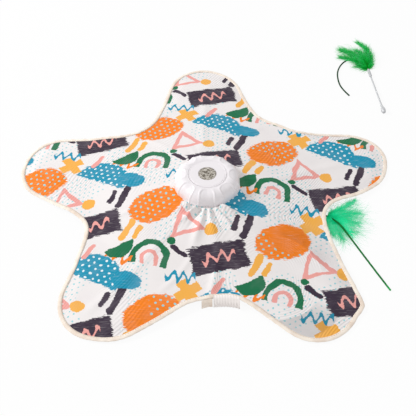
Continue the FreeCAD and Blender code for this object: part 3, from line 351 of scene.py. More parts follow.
# %% Routes of the tails
TAIL_DIAMETER = 3.0 * MM
WAND_ROUTE = [(182.93, -45.61, 7.19), (211.2, -50.4, 3.0), (233.4, -99.9, 1.6), (255.5, -153.01, 1.6),
              (276.94, -201.79, 1.6)]
SPARE_ROUTE = [(335.83, 349.8, 2.81), (334.47, 375.76, 2.42), (313.82, 393.3, 1.6), (288.38, 378.25, 1.6),
               (272.3, 348.77, 1.6), (269.37, 316.77, 1.6), (273.28, 289.84, 1.6), (284.98, 269.22, 1.6)]


def smooth_line(name, route):
    """The points of one NURBS line, read from a curve that has no thickness."""
    curve = bpy.data.curves.new(name, "CURVE")
    curve.dimensions = "3D"
    spline = curve.splines.new("NURBS")
    spline.points.add(len(route) - 1)
    for point, (x, y, z) in zip(spline.points, route):
        point.co = (x * MM, y * MM, z * MM, 1)
    spline.order_u = 3
    spline.use_endpoint_u = True
    spline.resolution_u = 24
    guide = bpy.data.objects.new(name, curve)
    bpy.context.scene.collection.objects.link(guide)
    bpy.context.view_layer.update()
    line = bpy.data.meshes.new_from_object(guide.evaluated_get(bpy.context.evaluated_depsgraph_get()))
    points = [vertex.co.copy() for vertex in line.vertices]
    bpy.data.objects.remove(guide)
    bpy.data.meshes.remove(line)
    return points


def line_length(points):
    return sum((b - a).length for a, b in zip(points, points[1:]))


# %% [markdown]
# The cord is twisted from three strands, so its section is a soft three lobed circle that turns as it
# goes. A ring of vertices is extruded from point to point, and the lobes turn with the length.

# %% Sweep a twisted cord along a line
SECTION_SIDES = 15
STRANDS, LOBE_DEPTH = 3, 0.07
TWIST_LENGTH = 9.0 * MM


def twisted_cord(name, points, body, material):
    form = bmesh.new()
    uv = form.loops.layers.uv.new("UVMap")
    row = list(bmesh.ops.create_circle(form, segments=SECTION_SIDES, radius=1.0)["verts"])
    edges = list(form.edges)
    side, travelled = Vector((0, 0, 1)), [0.0]
    for index, point in enumerate(points):
        before, after = points[max(index - 1, 0)], points[min(index + 1, len(points) - 1)]
        heading = (after - before).normalized()
        side = (side - heading * side.dot(heading)).normalized()
        across = heading.cross(side)
        if index:
            travelled.append(travelled[-1] + (point - before).length)
            row, edges = next_row(form, row, edges)
        for k, vertex in enumerate(row):
            angle = 2 * math.pi * k / SECTION_SIDES
            lobe = 1 + LOBE_DEPTH * math.cos(STRANDS * (angle + 2 * math.pi * travelled[-1] / TWIST_LENGTH))
            reach = TAIL_DIAMETER / 2 * lobe * 0.96
            vertex.co = point + (side * math.cos(angle) + across * math.sin(angle)) * reach
    for face in form.faces:
        for loop in face.loops:
            nearest = min(range(len(points)), key=lambda k: (points[k] - loop.vert.co).length_squared)
            loop[uv].uv = (0.5, travelled[nearest] / travelled[-1])
    bmesh.ops.holes_fill(form, edges=[e for e in form.edges if e.is_boundary], sides=SECTION_SIDES)
    bmesh.ops.recalc_face_normals(form, faces=form.faces)
    return settle(form, name, body, material)


# %% Dye the cords and lay them
def dyed_cord(name, dark, light, tip):
    material, start = blank_material(name, {"Roughness": 0.75, "Specular IOR Level": 0.2})
    _, along, _ = start.node("TexCoord", output="UV").parts()
    fibres, patches = object_noise(start, 1500.0), object_noise(start, 160.0)
    colour = mix((fibres * 0.5 + patches * 0.5 - 0.3) * 1.6, dark, light)
    link(mix(((along - 0.93) * 14.0).limited(), colour, tip), "Base Color")
    link(bump(fibres, 0.6, 0.0001), "Normal")
    return material


tail_points = {}
for node, route, body, dyes in (
        ("wand_tail", WAND_ROUTE, "rotor", (rgb(0, 92, 34), rgb(8, 142, 60), rgb(24, 176, 84))),
        ("spare_tail", SPARE_ROUTE, "base", (rgb(2, 44, 16), rgb(8, 78, 32), rgb(6, 56, 24)))):
    points = tail_points[node] = smooth_line(node + "_line", route)
    cord = twisted_cord(node + "_cord", points, body, dyed_cord(node.replace("tail", "cord_dye"), *dyes))
    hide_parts(node)
    tuple(c * MM for c in route[0])
    print(cord.name, "is", round(line_length(points) / MM, 1), "mm long")

# %% [markdown]
# ## The star's outline
# Five round tips run into five round notches along short straight sides. The cut follows the hem tape,
# so the same outline serves the printed cloth, the lining and the tape. Points are spread evenly along
# it, because the folds of a hem are as long on a tip as in a notch.

# %% Draw the outline
TIP_RADIUS, TIP_REACH = 70.5, 337.0
NOTCH_RADIUS, NOTCH_REACH = 83.0, 206.0
ARM_ANGLES = [18, 90, 162, 234, 306]
ARM_STRETCH = [-3.5, 8.8, -2.4, -3.2, 0.5]
ARM_TURN = [-0.48, -0.68, 1.33, -0.55, 0.38]
ARC_STEPS = 60


def polar(reach, angle):
    return reach * math.cos(angle), reach * math.sin(angle)


def arc(centre, radius, start, end):
    """Points along an arc from one angle to another, in radians."""
    return [(centre[0] + radius * math.cos(a), centre[1] + radius * math.sin(a))
            for a in np.linspace(start, end, ARC_STEPS)]


def tangent_angle(first, second, side):
    """Bearing, seen from one circle, of the end of the inner tangent that runs to the other."""
    dx, dy = second[0] - first[0], second[1] - first[1]
    return math.atan2(dy, dx) + side * math.acos((TIP_RADIUS + NOTCH_RADIUS) / math.hypot(dx, dy))


def turned_below(angle, limit):
    return angle - 2 * math.pi * math.ceil((angle - limit) / (2 * math.pi))


def star_outline():
    """Tip and notch in turn: each arc ends where the tangent to the next one starts."""
    tips = [polar(TIP_REACH - TIP_RADIUS + stretch, math.radians(angle + turn))
            for angle, turn, stretch in zip(ARM_ANGLES, ARM_TURN, ARM_STRETCH)]
    notches = [polar(NOTCH_REACH + NOTCH_RADIUS, math.radians(angle + 36)) for angle in ARM_ANGLES]
    line = []
    for index, (tip, notch) in enumerate(zip(tips, notches)):
        leave = tangent_angle(tip, notch, -1)
        arrive = turned_below(tangent_angle(tip, notches[index - 1], 1), leave)
        last = turned_below(tangent_angle(notch, tips[(index + 1) % 5], 1), leave + math.pi)
        line += arc(tip, TIP_RADIUS, arrive, leave) + arc(notch, NOTCH_RADIUS, leave + math.pi, last)
    return np.array(line)


def spread_evenly(line, count):
    closed = np.vstack([line, line[:1]])
    steps = np.linalg.norm(np.diff(closed, axis=0), axis=1)
    along = np.concatenate([[0], np.cumsum(steps)])
    places = np.arange(count) * along[-1] / count
    return np.column_stack([np.interp(places, along, closed[:, k]) for k in (0, 1)]), along[-1]


# %% Let the outline lie a little out of true
# bearing in degrees, and how far the hem lies outside the even star there, in mm
LIE = [(0, 4), (2, 7), (4, 5.5), (9, -2), (15, 3), (21, 7), (25, 5.5), (28, 2.5), (38, 3), (42, 7),
       (46, 15), (50, 19), (56, 16), (60, 12), (68, 4), (76, -2), (80, -1), (86, 7), (92, 12), (98, 8),
       (104, 1), (118, -2), (126, -6), (130, -5), (137, -2), (141, -3), (146, 1), (149, 3), (153, 6),
       (162, 3), (166, 2), (170, 4), (176, 9), (184, 13), (191, 12), (196, 7), (201, 8), (210, 12),
       (215, 7), (219, 2.5), (224, 2.5), (230, 5.5), (236, 2.5), (242, 0.5), (247, 8), (254, 9.5),
       (260, 11), (264, 13.5), (270, 12), (276, 8), (280, 3), (284, -1), (287, 1), (291, 4.5), (293, 6),
       (297, 8.5), (303, 4), (307, 0.5), (310, -1.5), (314, -1.5), (317, -2.5), (320, -4), (324, 0.5),
       (329, 6), (333, 6), (336.5, 4), (340, 0), (344, -4), (348.5, -8), (353, -5.5), (356, -1.5)]
# one corner of the tape stands out: its bearing and half width in degrees, and its reach in mm
CORNER_BEARING, CORNER_REACH, CORNER_HALF = 314.8, 7.0, 3.6
EDGE_POINTS = 900


def lying(line):
    """Moves every point of the even outline out by the distance for its bearing."""
    even, _ = spread_evenly(line, EDGE_POINTS)
    run = np.roll(even, -3, axis=0) - np.roll(even, 3, axis=0)
    run /= np.linalg.norm(run, axis=1)[:, None]
    bearing = np.degrees(np.arctan2(even[:, 1], even[:, 0])) % 360
    push = np.mean([np.interp(bearing + d, *np.array(LIE).T, period=360) for d in (-4, -2, 0, 2, 4)], axis=0)
    push += CORNER_REACH * np.maximum(0, 1 - np.abs(bearing - CORNER_BEARING) / CORNER_HALF)
    return even + np.column_stack([run[:, 1], -run[:, 0]]) * push[:, None]


outline, edge_length = spread_evenly(lying(star_outline()), EDGE_POINTS)
ahead = np.roll(outline, -1, axis=0) - np.roll(outline, 1, axis=0)
ahead /= np.linalg.norm(ahead, axis=1)[:, None]
outward = np.column_stack([ahead[:, 1], -ahead[:, 0]])
edge_tree = KDTree(EDGE_POINTS)
for index, (x, y) in enumerate(outline):
    edge_tree.insert((x, y, 0), index)
edge_tree.balance()
print("hem length:", round(edge_length), "mm")

# %% [markdown]
# ## How the mat drapes
# The mat is clamped between the carrier and the cap, falls in a shallow curve to the notches and runs
# on to the floor at the tips. Under the front of the cap the cloth is gathered, and the folds run out
# and fade. One function gives the height anywhere, so both cloths and the tape stay together.

# %% The height of the cloth
HUB_LEVEL = 36.75
CAP_EDGE = 56.0
DRAPE = [(0, HUB_LEVEL), (57, HUB_LEVEL), (100, 28.9), (140, 21.6), (175, 16.0), (206, 11.8), (250, 8.8),
         (290, 7.2), (318, 6.0), (330, 3.6), (337, 1.6), (350, 1.4)]
drape_reach, drape_level = np.array(DRAPE).T
waves = np.random.default_rng(7)
GATHERS = [(count, waves.uniform(0, 6.28), waves.uniform(0.5, 1.0)) for count in (19, 26, 33, 41, 52)]
SWELLS = [(waves.uniform(0.018, 0.05), waves.uniform(0, 6.28), waves.uniform(0, 6.28)) for _ in range(7)]
# folds kept from the packing: from, to, height and half width in mm
FOLDS = [((12, -118), (-2, -214), 2.6, 6), ((-64, -96), (-186, -236), 1.5, 8), ((58, -92), (196, -214), 0.8, 9),
         ((-92, 16), (-292, 66), 1.5, 8), ((96, 8), (262, 74), 1.3, 8), ((-6, 92), (10, 300), 1.3, 8),
         ((70, -60), (158, -104), 1.2, 6), ((-118, -40), (-176, -58), 1.2, 5),
         ((-20, -128), (-76, -204), 1.0, 5), ((60, 110), (104, 168), 1.0, 6), ((-66, 104), (-120, 160), 1.0, 6)]
FOLD_BOW = 5
PLEAT_FOOT = (-1.0, -42.0)
# pleats below the front of the cap: turn from straight ahead in degrees, and reach, height and half width
# in mm. A height below zero is a crease between two pleats.
PLEATS = [(-78, 60, 7.5, 4.2), (-64, 58, -3.5, 2.4), (-50, 70, 9.0, 4.6), (-33, 76, -2.6, 2.6),
          (-16, 112, 4.6, 5.6), (9, 96, 3.6, 5.2), (24, 72, -2.2, 2.2), (38, 84, 5.0, 3.8),
          (60, 78, 11.0, 5.6), (78, 62, -3.0, 2.6)]
SWELL_RISE, SIDE_DROP, LOWEST = 1.3, 2.6, 1.35


def fold_lift(x, y):
    """The rise of all folds: each is a low crest that fades out at both ends."""
    total = np.zeros_like(x)
    for (x0, y0), (x1, y1), rise, half in FOLDS:
        run = np.array([x1 - x0, y1 - y0], float)
        reach = np.hypot(*run)
        run /= reach
        along = (x - x0) * run[0] + (y - y0) * run[1]
        bow = FOLD_BOW * np.sin(np.clip(along / reach, 0, 1) * math.pi)
        across = (x - x0) * run[1] - (y - y0) * run[0] + bow
        ends = smooth_step(-12, 18, along) * smooth_step(reach + 12, reach - 20, along)
        total += rise * np.exp(-(across / half) ** 2) * ends
    return total


def pleat_lift(x, y):
    """Pleats that fan out under the front of the cap, where the cloth is drawn together like a bow."""
    dx, dy = x - PLEAT_FOOT[0], y - PLEAT_FOOT[1]
    total = np.zeros_like(x)
    for turn, reach, rise, half in PLEATS:
        c, s = math.cos(math.radians(turn)), math.sin(math.radians(turn))
        along, across = dx * s - dy * c, dx * c + dy * s
        broad = half * (0.55 + along / 110)
        crest = np.exp(-(across / np.maximum(broad, 0.5)) ** 2)
        total += rise * crest * smooth_step(10, 18, along) * smooth_step(reach, reach * 0.35, along)
    return total


def height(x, y, inset):
    """Level of the middle of the mat in mm, at a place and at its distance from the hem."""
    x, y, inset = (np.asarray(v, float) for v in (x, y, inset))
    reach, bearing = np.hypot(x, y), np.arctan2(y, x)
    level = np.mean([np.interp(reach + step, drape_reach, drape_level) for step in (-9, -4, 0, 4, 9)], axis=0)
    level = np.where(reach < 66, np.interp(reach, drape_reach, drape_level), level)
    # the gathers round the cap, strongest in front
    front = np.exp(-(np.abs((bearing + math.pi / 2 + math.pi) % (2 * math.pi) - math.pi) / 0.62) ** 2)
    fade = smooth_step(56.5, 66, reach) * np.exp(-np.maximum(reach - 64, 0) / 34)
    gather = sum(a * np.cos(k * bearing + p) for k, p, a in GATHERS) / 2.2
    level += fade * (0.3 + 0.5 * front) * gather
    level += (pleat_lift(x, y) + fold_lift(x, y)) * smooth_step(56.5, 61, reach)
    # broad swells over the middle of the cloth, and lower sides along the arms
    swell = sum(np.sin(f * (x * math.cos(d) + y * math.sin(d)) + p) for f, d, p in SWELLS) / 3.4
    level += SWELL_RISE * swell * smooth_step(80, 150, reach) * smooth_step(345, 280, reach)
    sides = smooth_step(28, 2, inset) * smooth_step(225, 262, reach)
    level -= SIDE_DROP * sides * smooth_step(2.4, 6, level)
    return np.maximum(level, LOWEST)


def inset_of(points):
    return np.array([edge_tree.find((x, y, 0))[2] for x, y in points])


print("height at the hub, the brow and a notch:",
      [round(float(height(r, 0, 100)), 1) for r in (50, 140, 206)])

# %% [markdown]
# ## The printed cloth and its lining
# A ring of vertices on the outline is extruded inwards to the hole at the hub, and the long edges
# between are cut into many. While it lies flat its places are kept as the print's coordinates, in
# metres. Then every vertex takes its height, so the print follows the drape as ink on cloth does.

# %% Cut the cloth flat, then drape it
BORE = 45.0
ROWS = 74
HEM_TRIM, HALF_PLY_GAP = 0.5, 0.3


def flat_star():
    """A flat ring of cloth from inside the tape's fold to the bore: rows run along the hem."""
    form = bmesh.new()
    edge = outline - outward * HEM_TRIM
    rim = [form.verts.new((x, y, 0)) for x, y in edge]
    bore, _ = next_row(form, rim, [form.edges.new((a, b)) for a, b in zip(rim, rim[1:] + rim[:1])])
    first_bearing = math.atan2(outline[0][1], outline[0][0])
    for k, vertex in enumerate(bore):
        even = first_bearing + 2 * math.pi * k / EDGE_POINTS
        lag = (math.atan2(edge[k][1], edge[k][0]) - even + math.pi) % (2 * math.pi) - math.pi
        vertex.co = (*polar(BORE, even + 0.75 * lag), 0)
    spokes = [e for e in form.edges if not e.is_boundary]
    bmesh.ops.subdivide_edges(form, edges=spokes, cuts=ROWS, use_grid_fill=True)
    bmesh.ops.recalc_face_normals(form, faces=form.faces)
    return form


def cloth(name, side, material):
    """One ply of the mat. Its side is 1 for the upper ply and -1 for the lower one."""
    form = flat_star()
    uv = form.loops.layers.uv.new("UVMap")
    for face in form.faces:
        if (face.normal.z > 0) != (side > 0):
            face.normal_flip()
        for loop in face.loops:
            loop[uv].uv = (loop.vert.co.x * MM, loop.vert.co.y * MM)
    piece = settle(form, name, "base", material)
    points = coordinates(piece.data)
    points[:, 2] = height(points[:, 0], points[:, 1], inset_of(points[:, :2])) + side * HALF_PLY_GAP
    set_coordinates(piece.data, points * MM)
    return piece


# %% [markdown]
# ## The print
# The cloth carries a bright brushed pattern in orange, teal, plum, green, amber and pink on off white.
# This one is made of plain shapes: pebbles, half moons, bars, arches, crosses and waves, laid out on a
# square that repeats with a step to the side. Each shape is a distance in mm, and its edge wobbles with
# noise, as a dry brush does.

# %% Colours of the print
CLOTH_WHITE = rgb(240, 235, 234)
ORANGE, TEAL = rgb(248, 130, 14), rgb(8, 146, 178)
PLUM, GREEN, AMBER = rgb(50, 36, 54), rgb(8, 108, 68), rgb(246, 178, 76)
PINK, AQUA = rgb(240, 164, 156), rgb(158, 214, 218)
PRINT_PLACE = (132.0, 192.0)
REPEAT = 150.0
STEP_ASIDE = 0.37
THREAD_PITCH, RIPPLE_PITCH = 0.9, 4.6
RIPPLE_RING, RIPPLE_REACH = (98.0, -178.0), 118.0
PRINT_SCALE = 1.36


# %% Shapes as distances
class Shape:
    """Plain shapes in mm about the nearest copy of a middle, each a distance that is below zero inside."""

    def __init__(self, x, y, middle, turn):
        c, s = polar(1, math.radians(turn))
        column = ((x - middle[0]) / REPEAT + 0.5).math("FLOOR")
        dx = x - middle[0] - column * REPEAT
        up = y - middle[1] + column * (REPEAT * STEP_ASIDE)
        dy = up - (up / REPEAT + 0.5).math("FLOOR") * REPEAT
        self.x = dx * c + dy * s
        self.y = dy * c - dx * s

    def pebble(self, a, b):
        return (length(self.x / a, self.y / b) - 1) * min(a, b)

    def disc(self, radius):
        return length(self.x, self.y) - radius

    def half_moon(self, radius):
        return self.disc(radius).math("MAXIMUM", 0 - self.y)

    def bar(self, a, b):
        return (abs(self.x) - a).math("MAXIMUM", abs(self.y) - b)

    def arch(self, radius, width, leg):
        ring = abs(length(self.x, self.y.math("MAXIMUM", 0.0)) - radius) - width / 2
        return ring.math("MAXIMUM", 0 - self.y - leg)

    def cross(self, a, b):
        return self.bar(a, b).math("MINIMUM", self.bar(b, a))

    def stroke(self, half, width):
        return length(self.x - self.x.limited(-half, half), self.y) - width / 2

    def zigzag(self, half, size, pitch, width):
        band = abs(self.y - wave(self.x, pitch) * size) * 0.75 - width / 2
        return band.math("MAXIMUM", abs(self.x) - half)

    def triangle(self, size, width):
        side = (abs(self.x) * 0.866 + self.y * 0.5).math("MAXIMUM", 0 - self.y) - size / 2
        return abs(side) - width / 2


def length(x, y):
    return (x * x + y * y).math("SQRT")


def dots(x, y, turn, pitch, radius):
    """A field of small dots on a slanting grid."""
    c, s = polar(1, math.radians(turn))
    along, up = x * c + y * s, y * c - x * s
    row = (up / pitch).math("FLOOR")
    dx = (along / pitch + row * 0.5).math("FRACT") - 0.5
    return length(dx, (up / pitch).math("FRACT") - 0.5) * pitch - radius


def inside(distance, softness=0.35):
    """1 inside a shape and 0 outside it, with an edge as soft as ink in cloth."""
    return (0.5 - distance / softness).limited()


# %% The motifs, in the order in which they are printed
# shape, middle and turn in degrees, sizes in mm, share of dry brush at its edge, and ink
MOTIFS = [
    ("pebble", (34, 112), 20, (34, 25), 0.7, ORANGE),
    ("half_moon", (110, 106), -28, (36,), 0.6, TEAL),
    ("bar", (108, 34), 11, (33, 18), 0.8, PLUM),
    ("arch", (28, 38), -14, (19, 7.6, 11), 0.12, GREEN),
    ("arch", (28, 36), -14, (8.2, 5.0, 9), 0, PINK),
    ("zigzag", (108, 34), 11, (20, 5.6, 14, 4.4), 0, PINK),
    ("triangle", (70, 78), 12, (20, 5.2), 0, PINK),
    ("cross", (72, 141), 31, (15.5, 6.2), 0.2, AMBER),
    ("stroke", (0, 78), 62, (12, 8.4), 0.15, AMBER),
    ("stroke", (13, 74), 62, (7, 7.0), 0.15, AMBER),
    ("stroke", (143, 76), 68, (15, 8.8), 0.25, PLUM),
    ("stroke", (129, 78), 68, (8, 6.6), 0.25, PLUM),
    ("zigzag", (64, 10), -8, (18, 5.4, 12, 4.8), 0, TEAL),
    ("disc", (100, 70), 40, (8,), 0.15, AMBER),
    ("zigzag", (142, 136), -35, (16, 4.8, 12, 5.0), 0, ORANGE),
    ("half_moon", (141, 2), 205, (18,), 0.3, GREEN),
    ("stroke", (106, 146), 55, (9, 6.6), 0, PINK),
    ("pebble", (2, 8), -20, (18, 12), 0.4, TEAL),
    ("stroke", (62, 44), -40, (9, 6.4), 0.2, PLUM),
    ("disc", (54, 58), -40, (4.6,), 0, GREEN),
]
# the dry share from which a motif counts as large, so that the brush leaves streaks in it
LARGE = 0.4


# %% Print the cloth
def printed_cloth():
    material, start = blank_material("printed_cloth", {
        "Roughness": 0.74, "Specular IOR Level": 0.3, "Sheen Weight": 0.05})
    uv = start.node("TexCoord", output="UV")
    flat_x, flat_y = (part * 1000 for part in uv.parts()[:2])
    shift, rough = noise(uv, 48.0, 1.0, "Color").parts(), noise(uv, 420.0, 3.0, "Color").parts()
    bristles = noise(turned(uv, 14, (1.0, 8.0, 1.0)), 70.0) - 0.5
    wide_x = flat_x + PRINT_PLACE[0] + (shift[0] - 0.5) * 9
    wide_y = flat_y + PRINT_PLACE[1] + (shift[1] - 0.5) * 9
    x = (wide_x + (rough[0] - 0.5) * 3.0) / PRINT_SCALE
    y = (wide_y + (rough[1] - 0.5) * 3.0) / PRINT_SCALE
    where = noise(uv, 11.0, 0.0)
    speckled = inside(dots(wide_x, wide_y, 24, 9.0, 1.5)) * inside((0.52 - where) * 60, 2.0)
    large_dots = inside(dots(wide_x, wide_y, 41, 10.4, 2.0))
    dotted = {0: (large_dots * inside((where - 0.5) * 60, 2.0), AQUA), 1: (large_dots, rgb(236, 246, 248))}
    colour, brushed = mix(speckled, CLOTH_WHITE, AQUA), None
    for index, (kind, middle, turn, sizes, dryness, ink) in enumerate(MOTIFS):
        distance = getattr(Shape(x, y, middle, turn), kind)(*sizes)
        mask = inside(distance + bristles * 13 * dryness if dryness else distance)
        colour = mix(mask, colour, ink)
        if index in dotted:
            colour = mix(dotted[index][0] * mask, colour, dotted[index][1])
        if dryness >= LARGE:
            brushed = brushed.math("MAXIMUM", mask) if brushed else mask
    # the brush left its streaks in the large shapes: thinner ink here, more of it there
    deep, thin = ((bristles * sign * 2.2 - 0.12).limited(high=0.45) * brushed for sign in (1, -1))
    colour = mix(deep * 0.8, colour, mix(1.0, colour, (0.50, 0.52, 0.60), "MULTIPLY"))
    colour = mix(thin * 0.35, colour, (1.0, 0.97, 0.93))
    link(mix((noise(uv, 30.0, 4.0) - 0.45) * 0.3, colour, rgb(206, 194, 204)), "Base Color")
    # threads, and the fine ripples that the cloth keeps from its packing
    threads = (wave(flat_x, THREAD_PITCH) + wave(flat_y, THREAD_PITCH)) * 0.25
    ring = length(flat_x - RIPPLE_RING[0], flat_y - RIPPLE_RING[1])
    slant = turned(uv, 38).parts()[0] * 1000
    path = slant + ((RIPPLE_REACH - ring) / 40).limited() * (ring - slant)
    phase = path * (2 * math.pi / RIPPLE_PITCH) + noise(uv, 7.0, 1.0) * 85.0
    ripples = phase.math("SINE") * ((noise(uv, 9.5, 1.0) - 0.43) * 6.0).limited()
    link(bump(threads, 0.35, 0.00008, below=bump(ripples, 1.0, 0.00024)), "Normal")
    return material


def plain_cloth(name, colour, ribs=THREAD_PITCH, worn=None):
    """Undyed cloth with a rib every so many mm, and where it is worn, patches of a second colour."""
    material, start = blank_material(name, {"Roughness": 0.8, "Sheen Weight": 0.2})
    x, y, _ = object_place(start).parts()
    shade = object_noise(start, 60.0, 4.0)
    patches = ((shade - 0.36) * 3.2).limited() if worn else shade
    link(mix(patches, colour, worn or tuple(c * 0.9 for c in colour)), "Base Color")
    link(bump((wave(x * 1000, ribs) + wave(y * 1000, ribs)) * 0.25, 0.4, 0.00008), "Normal")
    return material


# %% Drape both cloths
print_piece = cloth("printed_cloth", 1, printed_cloth())
lining_piece = cloth("lining_cloth", -1, plain_cloth("lining_white", rgb(238, 233, 235)))
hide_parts("mat_print")
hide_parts("mat_lining")


def sheet_area(piece):
    return sum(face.area for face in piece.data.polygons)


print("area of the cloth:", round(sheet_area(print_piece), 4), "square metres")

# %% [markdown]
# ## The hem tape
# A cream tape is folded over the edge of both cloths and stitched down. Seen in section it is a flat
# hook, so it is made from the outline itself: the edge is extruded row by row round the hook, and each
# row is moved in from the hem and up or down from the mat.

# %% Fold the tape round the hem
TAPE_WIDTH = 6.2
TAPE_SECTION = [(TAPE_WIDTH, -0.42), (TAPE_WIDTH, -0.80), (TAPE_WIDTH / 2, -0.95), (1.0, -0.95), (-0.2, -0.6),
                (-0.6, 0.0), (-0.2, 0.6), (1.0, 0.95), (TAPE_WIDTH / 2, 0.95), (TAPE_WIDTH, 0.80),
                (TAPE_WIDTH, 0.42)]


def row_points(inset, lift):
    place = outline - outward * inset
    along = np.arange(EDGE_POINTS) * edge_length / EDGE_POINTS
    pucker = 0.3 * np.sin(along * 2 * math.pi / 11.5) + 0.22 * np.sin(along * 2 * math.pi / 17.3 + 1)
    share = np.clip(inset / TAPE_WIDTH, 0, 1)
    level = height(place[:, 0], place[:, 1], np.full(EDGE_POINTS, max(inset, 0.0)))
    return np.column_stack([place, level + lift + pucker * (1 - share) * smooth_step(1.6, 3.5, level)])


tape_cream = plain_cloth("tape_cream", rgb(253, 243, 230), ribs=0.7, worn=rgb(238, 220, 204))


def loop_rows(name, sections, material):
    """A band whose rows all follow the hem: one row of vertices, extruded from section to section."""
    form = bmesh.new()
    row = [form.verts.new(Vector(p) * MM) for p in row_points(*sections[0])]
    edges = [form.edges.new((a, b)) for a, b in zip(row, row[1:] + row[:1])]
    for section in sections[1:]:
        row, edges = next_row(form, row, edges)
        for vertex, point in zip(row, row_points(*section)):
            vertex.co = Vector(point) * MM
    bmesh.ops.recalc_face_normals(form, faces=form.faces)
    return settle(form, name, "base", material)


tape = loop_rows("hem_tape", TAPE_SECTION, tape_cream)
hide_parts("mat_binding")

# %% Stitch the tape down
STITCH_PITCH, STITCH_INSET = 4.2, 1.3
STITCH_SIZE = (1.35 * MM, 0.26 * MM, 0.2 * MM, 1)


def stitches():
    """A line of short stitches near the tape's inner edge, each a small bead drawn out along the hem."""
    count = int(edge_length / STITCH_PITCH)
    form = bmesh.new()
    places = row_points(TAPE_WIDTH - STITCH_INSET, 0.93)
    for index in range(count):
        k = index * EDGE_POINTS / count
        low = int(k)
        here = Vector(places[low] * (1 - (k - low)) + places[(low + 1) % EDGE_POINTS] * (k - low)) * MM
        turn = Vector((*ahead[low], 0)).to_track_quat("X", "Z").to_matrix().to_4x4()
        shape = Matrix.Translation(here) @ turn @ Matrix.Diagonal(STITCH_SIZE)
        bmesh.ops.create_icosphere(form, subdivisions=1, radius=1.0, matrix=shape)
    return settle(form, "hem_stitches", "base", moulded("thread", rgb(232, 206, 180), 0.7))


stitch_line = stitches()

# %% [markdown]
# Below the notch at the front a bit of the lining's slack shows: a short white strip in pleats hangs from
# the hem to the floor. Beside it the end of the tape is tucked under. Both are flat grids with their rows
# hung from the hem, and the pleats are a zigzag across them.

# %% Hang the slack below the front hem
def hem_near(x):
    """The hem's place and level in the front notch, at a distance to the right of the middle."""
    front = [k for k in range(EDGE_POINTS) if outline[k][1] < -150 and abs(outline[k][0]) < 70]
    k = min(front, key=lambda k: abs(outline[k][0] - x))
    return outline[k], float(height(*outline[k], 0.0))


HANGING_ROWS = 16


def hanging_strip(name, span, over, drop, pleat, depth, bulge, material, columns):
    """A strip across a span of the front hem. It starts on the cloth, over mm inside the hem, and hangs
    drop mm towards the viewer, in pleats of a pitch and a depth, with a bulge half way down."""
    form = bmesh.new()
    bmesh.ops.create_grid(form, x_segments=columns, y_segments=HANGING_ROWS, size=1.0)
    for vertex in form.verts:
        x = span[0] + (span[1] - span[0]) * (vertex.co.x + 1) / 2
        way = (1 - vertex.co.y) / 2 * (drop + over) - over
        (_, hem_y), hem_z = hem_near(x)
        zigzag = abs((x - span[0]) / pleat % 1 - 0.5) * 2
        if way < 0:
            y = hem_y - way
            level = float(height(x, y, -way)) + 1.25 + 0.5 * depth * zigzag
        else:
            share = way / drop
            y = hem_y - 1.2 - way - depth * zigzag * (0.45 + 0.55 * share) - bulge * math.sin(math.pi * share)
            level = (hem_z + 0.6) * (1 - share) ** 0.8 + 0.45
        vertex.co = Vector((x, y, level)) * MM
    bmesh.ops.recalc_face_normals(form, faces=form.faces)
    return settle(form, name, "base", material)


# painted light: the slack is the lining's own cloth, but it faces away from the lamps, so its colour is painted
# lighter than the lining's
slack_white_painted_lit = plain_cloth("slack_white_painted_lit", rgb(255, 247, 243))
slack = hanging_strip("lining_slack", (4.5, 44.0), 3.6, 8.0, 4.2, 1.0, 1.8, slack_white_painted_lit, 144)
tuck = hanging_strip("tape_tuck", (-13.5, 3.0), 0.0, 6.5, 20.0, 1.2, 2.2, tape_cream, 36)

# %% [markdown]
# ## The fluted cap
# A white shell clips over the middle and clamps the mat. It is a low quarter oval with eight wide petals:
# each is a shallow scooped panel with an arched top and a raised lip. The section is spun about the hub's
# axis, and then panels and lips are pressed in by moving vertices.

# %% Spin and press the cap
PETALS = 8
FIRST_PANEL = math.radians(-92)
CAP_FOOT, CAP_TOP = 37.3, 59.5
DOME_TOP = 36.6
# half width of a panel in mm, by distance from the hub's axis
PANEL = [(35.6, 0), (36.4, 3.2), (37.4, 5.4), (39.0, 7.8), (41.0, 9.4), (44.0, 10.7), (48.0, 11.6),
         (52.0, 11.9), (56.0, 12.0)]
LIP_RISE, WALL_DROP, SCOOP_DROP = 0.6, 0.75, 0.95
CAP_WALL = 2.6
# the lid's seat with its ring groove: distance from the axis, and depth below the top
SEAT = [(35.4, 0), (34.7, 0), (34.45, 0.08), (34.2, 0.3), (33.6, 0.3), (33.35, 0.08), (33.1, 0),
        (32.5, 0.05), (32.15, 0.3), (32.1, 2.2), (31.0, 2.25), (31.0, 4.4)]


def spun(profile, closed, steps, merge):
    """A section, as distances from the axis and levels in mm, spun once round the hub's axis."""
    form = bmesh.new()
    section = [form.verts.new((reach, 0, level)) for reach, level in profile]
    following = section[1:] + (section[:1] if closed else [])
    line = [form.edges.new((a, b)) for a, b in zip(section, following)]
    bmesh.ops.spin(form, geom=section + line, cent=(0, 0, 0), axis=(0, 0, 1), angle=2 * math.pi, steps=steps,
                   use_merge=True)
    bmesh.ops.remove_doubles(form, verts=form.verts, dist=merge)
    bmesh.ops.recalc_face_normals(form, faces=form.faces)
    return form


